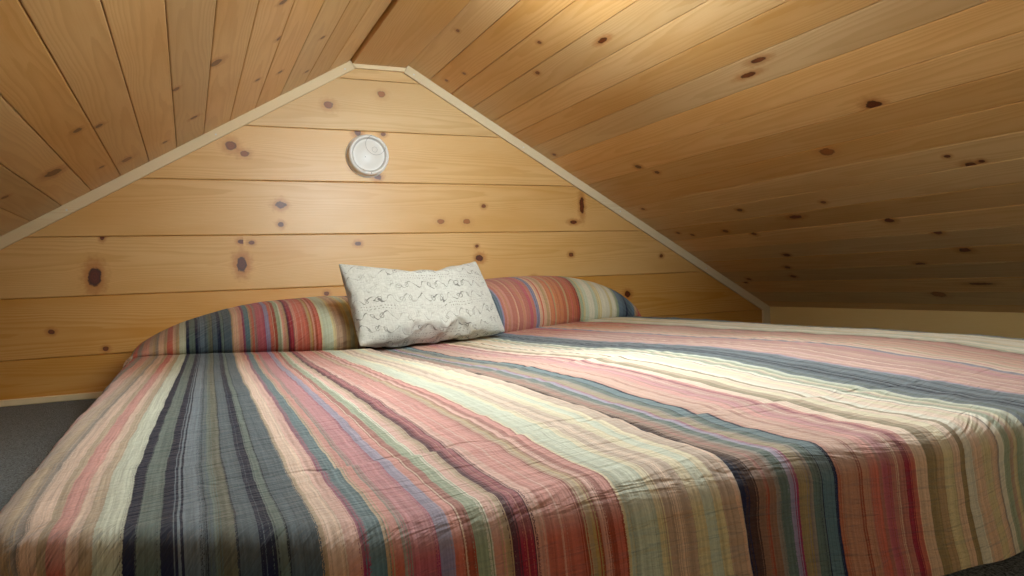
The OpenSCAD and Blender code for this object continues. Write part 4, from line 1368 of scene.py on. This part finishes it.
# Pillows: crowned closed forms under the quilt
pillows = {
    "high": 0.136, "power": 2.6, "crown": 0.6, "grid": 30,
    # node, name, middle, distance from the head of the bed, turn, fullness, length, width
    "pair": [
        ("pillow_left", "pillowLeft", -0.360, 0.359, 32, 1.0, 0.720, 0.520),
        ("pillow_right", "pillowRight", 0.360, 0.229, -6, 1.2, 0.720, 0.421),
    ],
}


def clothOver(x, y):
    # top of the quilt at a place, lowest of a few places close to it
    least = 9.0
    for dx in (-0.014, 0.0, 0.014):
        j = int(np.abs(quiltSpots[0, :, 0] - (x + dx)).argmin())
        away = -quiltSpots[:, j, 1]
        keep = int(away[:quilt["rollRows"] + 1].argmax()) + 1
        for dy in (-0.014, 0.0, 0.014):
            least = min(least, float(np.interp(-(y + dy), away[:keep], quiltSpots[:keep, j, 2])))
    return least


def makePillow(node, name, middle, away, turn, fullness, long, wide):
    power = pillows["power"]
    made = closedGrid(name, pillows["grid"], pillows["grid"])
    turn = math.radians(turn)
    for corner in made.data.vertices:
        s, t, top = corner.co
        s = math.sin(s * math.pi / 2)
        t = math.sin(t * math.pi / 2)
        big = max(abs(s), abs(t))
        k = big / (abs(s) ** power + abs(t) ** power) ** (1 / power) if big > 0 else 1.0
        a = s * k
        b = t * k
        x = middle + a * long / 2 * math.cos(turn) + b * wide / 2 * math.sin(turn)
        y = bed["head"] - away - a * long / 2 * math.sin(turn) + b * wide / 2 * math.cos(turn)
        z = bed["top"] + bed["rest"] + 0.0005
        if top > 0.5:
            full = max(0.0, 1 - abs(a) ** power - abs(b) ** power)
            high = pillows["high"] * fullness * full ** pillows["crown"]
            z = max(z + 0.001, min(z + 0.0025 + high, clothOver(x, y) - quilt["thick"] - 0.001))
        corner.co = (x, y, z)
    made.data.update()
    faceOut(made)
    smooth(made, 60)
    dress(made, pillowCotton, "pillow_cotton", node)


for row in pillows["pair"]:
    makePillow(*row)
print("pillows tucked under")

print("quilt laid, cut", round(quiltCut[0], 3), "by", round(quiltCut[1], 3))

# Accent cushion: two sewn panels, filled by a cloth simulation
cushion = {
    "wide": 0.449, "high": 0.226, "grid": (76, 42), "swell": 0.004,
    "frames": 20, "cap": 0.055,
    "cloth": {
        "quality": 8, "mass": 0.25, "tension_stiffness": 25, "compression_stiffness": 25,
        "shear_stiffness": 12, "bending_stiffness": 0.6, "use_pressure": True, "uniform_pressure_force": 4.0,
    },
    "lean": 30, "turn": 16.5, "place": (-0.085, 0.3035), "slump": (0.016, 0.004),
    # over the flat of the bed: where it stands, and how it settles on the cloth
    "stand": 0.0063, "clear": 0.0130, "sink": 0.012,
    "base": "c2c0b7", "shade": "a9a69c", "ink": "45403d",
}


def fillCushion(made, c):
    # the panels swell under pressure, and no point moves further than the cap
    spots = readAll(made.data.vertices, "co", 3)
    step = made.modifiers.new("filling", "CLOTH")
    for name, value in c["cloth"].items():
        setattr(step.settings, name, value)
    step.settings.effector_weights.gravity = 0
    step.collision_settings.use_collision = False
    step.point_cache.frame_start = 1
    step.point_cache.frame_end = c["frames"]
    for number in range(1, c["frames"] + 1):
        bpy.context.scene.frame_set(number)
    full = made.evaluated_get(bpy.context.evaluated_depsgraph_get())
    go = readAll(full.data.vertices, "co", 3) - spots
    made.modifiers.remove(made.modifiers["filling"])
    bpy.context.scene.frame_set(1)
    far = np.linalg.norm(go, axis=1)
    spots = spots + go * np.minimum(1.0, c["cap"] / np.maximum(far, 1e-9))[:, None]
    made.data.vertices.foreach_set("co", spots.ravel())
    made.data.update()


def makeCushion():
    c = cushion
    made = closedGrid("accentCushion", *c["grid"])
    made.data.uv_layers[0].name = "panel"
    for corner in made.data.vertices:
        s, t, front = corner.co
        side = 1 if front > 0.5 else -1
        edge = max(0.0, 1 - s * s) * max(0.0, 1 - t * t)
        corner.co = (s * c["wide"] / 2, side * c["swell"] * edge ** 0.5, t * c["high"] / 2)
    startEdit(made, everything=True)
    bpy.ops.mesh.remove_doubles(threshold=weld)
    bpy.ops.mesh.dissolve_degenerate(threshold=weld / 10)
    endEdit()
    faceOut(made)
    rim = [v.index for v in made.data.vertices if v.co.z < weld - c["high"] / 2]
    fillCushion(made, c)
    # the lower edge settles straight on the bed, and the top corners slump inwards
    half = c["wide"] / 2
    rim = sorted([made.data.vertices[i].co.copy() for i in rim], key=lambda co: co.x)
    rimX = [co.x for co in rim]
    rimZ = [co.z for co in rim]
    for corner in made.data.vertices:
        edgeZ = float(np.interp(corner.co.x, rimX, rimZ))
        high = (corner.co.z - edgeZ) / (0.55 * c["high"])
        corner.co.z -= (edgeZ - min(rimZ) - 0.002) * max(0.0, 1 - high) ** 1.5
        s = corner.co.x / half
        t = max(0.0, corner.co.z / c["high"] + 0.5)
        corner.co.x += (c["slump"][0] * max(0.0, -s) - c["slump"][1] * max(0.0, s)) * t * t
    made.data.update()
    applyStep(made, "SUBSURF", levels=1, render_levels=1)
    # lean it back, turn it, and stand it on the quilt
    lean = math.radians(c["lean"])
    turn = math.radians(c["turn"])
    made.data.transform(Matrix.Rotation(turn, 4, "Z") @ Matrix.Rotation(-lean, 4, "X"))
    foot = min(v.co.z for v in made.data.vertices)
    shift = Vector((c["place"][0], c["place"][1], bed["top"] + c["stand"] - foot))
    ahead = math.sin(lean) * c["high"] / 2
    shift.x -= ahead * math.sin(turn)
    shift.y += ahead * math.cos(turn)
    made.data.transform(Matrix.Translation(shift))
    for corner in made.data.vertices:
        # it is flat where it rests on the quilt, and clear of the cloth behind it
        floorZ = bed["top"] + c["clear"] + float(crownAt(corner.co.x, bed["head"] - corner.co.y))
        if corner.co.z < floorZ + c["sink"] / 3:
            corner.co.z = floorZ + max(0.0, corner.co.z - floorZ + c["sink"]) * 0.25
    made.data.update()
    smooth(made, 80)
    return made


def cushionMaterial(name, look):
    material = newMaterial(name, rough=0.92, specular=0.15, sheen=0.2, sheenRough=0.5)
    where = inSpace()
    panel = parts(take("UVMap", uv_map="panel"))
    u = panel[0] * (look["wide"] * 1000)
    v = panel[1] * (look["high"] * 1000)
    yarn = (cloud(u * 0.06, v * 0.9, 3.0) + cloud(u * 0.9, v * 0.06, 3.0)) * 0.5
    colour = mixColour(ease(yarn, 0.40, 0.62), look["base"], look["shade"])
    # a generic scroll border and sprigs, printed thin and faded
    fade = ease(noise(where, 14.0), 0.36, 0.60, 0.25, 1.0)
    colour = mixColour(ornament(u, v) * fade * 0.75, colour, look["ink"])
    weave = calc("SINE", u * 4.2) * calc("SINE", v * 4.2) * 0.15
    return finished(material, colour, weave + yarn + noise(where, 30.0, 3.0), 0.0012, 0.6)


def ornament(u, v):
    # rows of a running scroll with sprigs and beads between, in millimetres of cloth
    hand = cloud(u * 0.03, v * 0.03)
    u = u + hand * 34.0
    v = v + hand * 12.0
    row = calc("PINGPONG", v + 3.0, 32.0)
    mid = row - 14.0
    wave = calc("SINE", u * 0.15) * 7.5
    # the pen swells and thins along the scroll
    pen = calc("SINE", u * 0.30) * 0.7 + 1.0
    stem = ease(calc("ABSOLUTE", mid - wave) - pen, 0.5, -0.5)
    leaf = distance(calc("PINGPONG", u + 10.5, 42.0) - 10.5, mid)
    curl = ease(calc("ABSOLUTE", leaf - 4.6), 1.1, 0.4)
    beads = ease(calc("ABSOLUTE", row - 29.0), 1.3, 0.5) * ease(calc("SINE", u * 0.8), 0.1, 0.6) * 0.8
    return calc("MAXIMUM", calc("MAXIMUM", stem, curl), beads)


cushionPiece = makeCushion()
dress(cushionPiece, cushionMaterial("printedLinen", cushion), "cushion_linen", "accent_cushion")
print("cushion filled and placed")

# Studio: a pale floor, a pale world and soft lamps
studio = {
    "floor": "d9d7d2", "floorShade": "cfccc6", "world": (0.90, 0.91, 0.92, 1.0), "fill": 0.07,
    # name, place, aim, size, watts, colour, spread in degrees
    "lamps": [
        ("keyLamp", (-4.6, -1.3, 4.8), (0, 0, 0.5), 2.6, 210, (1.0, 0.98, 0.95), 180),
        ("sideLamp", (4.8, 0.4, 3.6), (0, 0, 0.4), 2.4, 130, (0.96, 0.98, 1.0), 180),
        ("backLamp", (-1.0, 5.2, 3.8), (0, 0, 0.5), 2.6, 140, (1.0, 0.99, 0.97), 180),
        ("frontLamp", (0.8, -3.6, 1.6), (0, 0.0, 0.6), 1.6, 15, (1.0, 0.74, 0.43), 180),
        ("loftLamp", (0.15, -0.95, 1.00), (0.11, 1.10, 0.84), 0.40, 4.1, (0.82, 0.95, 1.0), 72),
        ("bedLamp", (-0.12, -0.42, 1.08), (-0.12, -0.48, 0.0), 0.40, 11.8, (0.86, 0.96, 0.96), 165),
        ("ridgeLamp", (0.05, 0.05, 0.90), (0.16, 0.0, 1.20), 0.4, 1.25, (0.88, 0.95, 1.06), 150),
    ],
}
floor = begin("studioFloor", bpy.ops.mesh.primitive_plane_add, size=60, location=(0, 0, -0.001))
coat(floor, newMaterial("studioFloor", rough=0.9, specular=0.1))
link(mixColour(noise(inSpace(), 1.5) * 0.2, studio["floor"], studio["floorShade"]), "Base Color")

world = bpy.data.worlds.new("paleStudio")
bpy.context.scene.world = world
world.use_nodes = True
site["tree"] = world.node_tree
site["surface"] = world.node_tree.nodes["Background"]
site["surface"].inputs["Color"].default_value = studio["world"]
rays = addNode("LightPath").outputs
seen = calc("MAXIMUM", Value(rays["Is Camera Ray"]), Value(rays["Is Glossy Ray"]))
seen = calc("MAXIMUM", seen, Value(rays["Is Transmission Ray"]))
link(seen * (1.0 - studio["fill"]) + studio["fill"], "Strength")

for name, spot, target, size, power, colour, spread in studio["lamps"]:
    data = bpy.data.lights.new(name, "AREA")
    data.shape = "DISK"
    data.size = size
    data.energy = power
    data.color = colour
    data.spread = math.radians(spread)
    lamp = bpy.data.objects.new(name, data)
    bpy.context.scene.collection.objects.link(lamp)
    lamp.location = spot
    lamp.rotation_euler = (Vector(target) - Vector(spot)).to_track_quat("-Z", "Y").to_euler()
    lamp.visible_camera = False
print("studio lit")

bpy.context.view_layer.update()
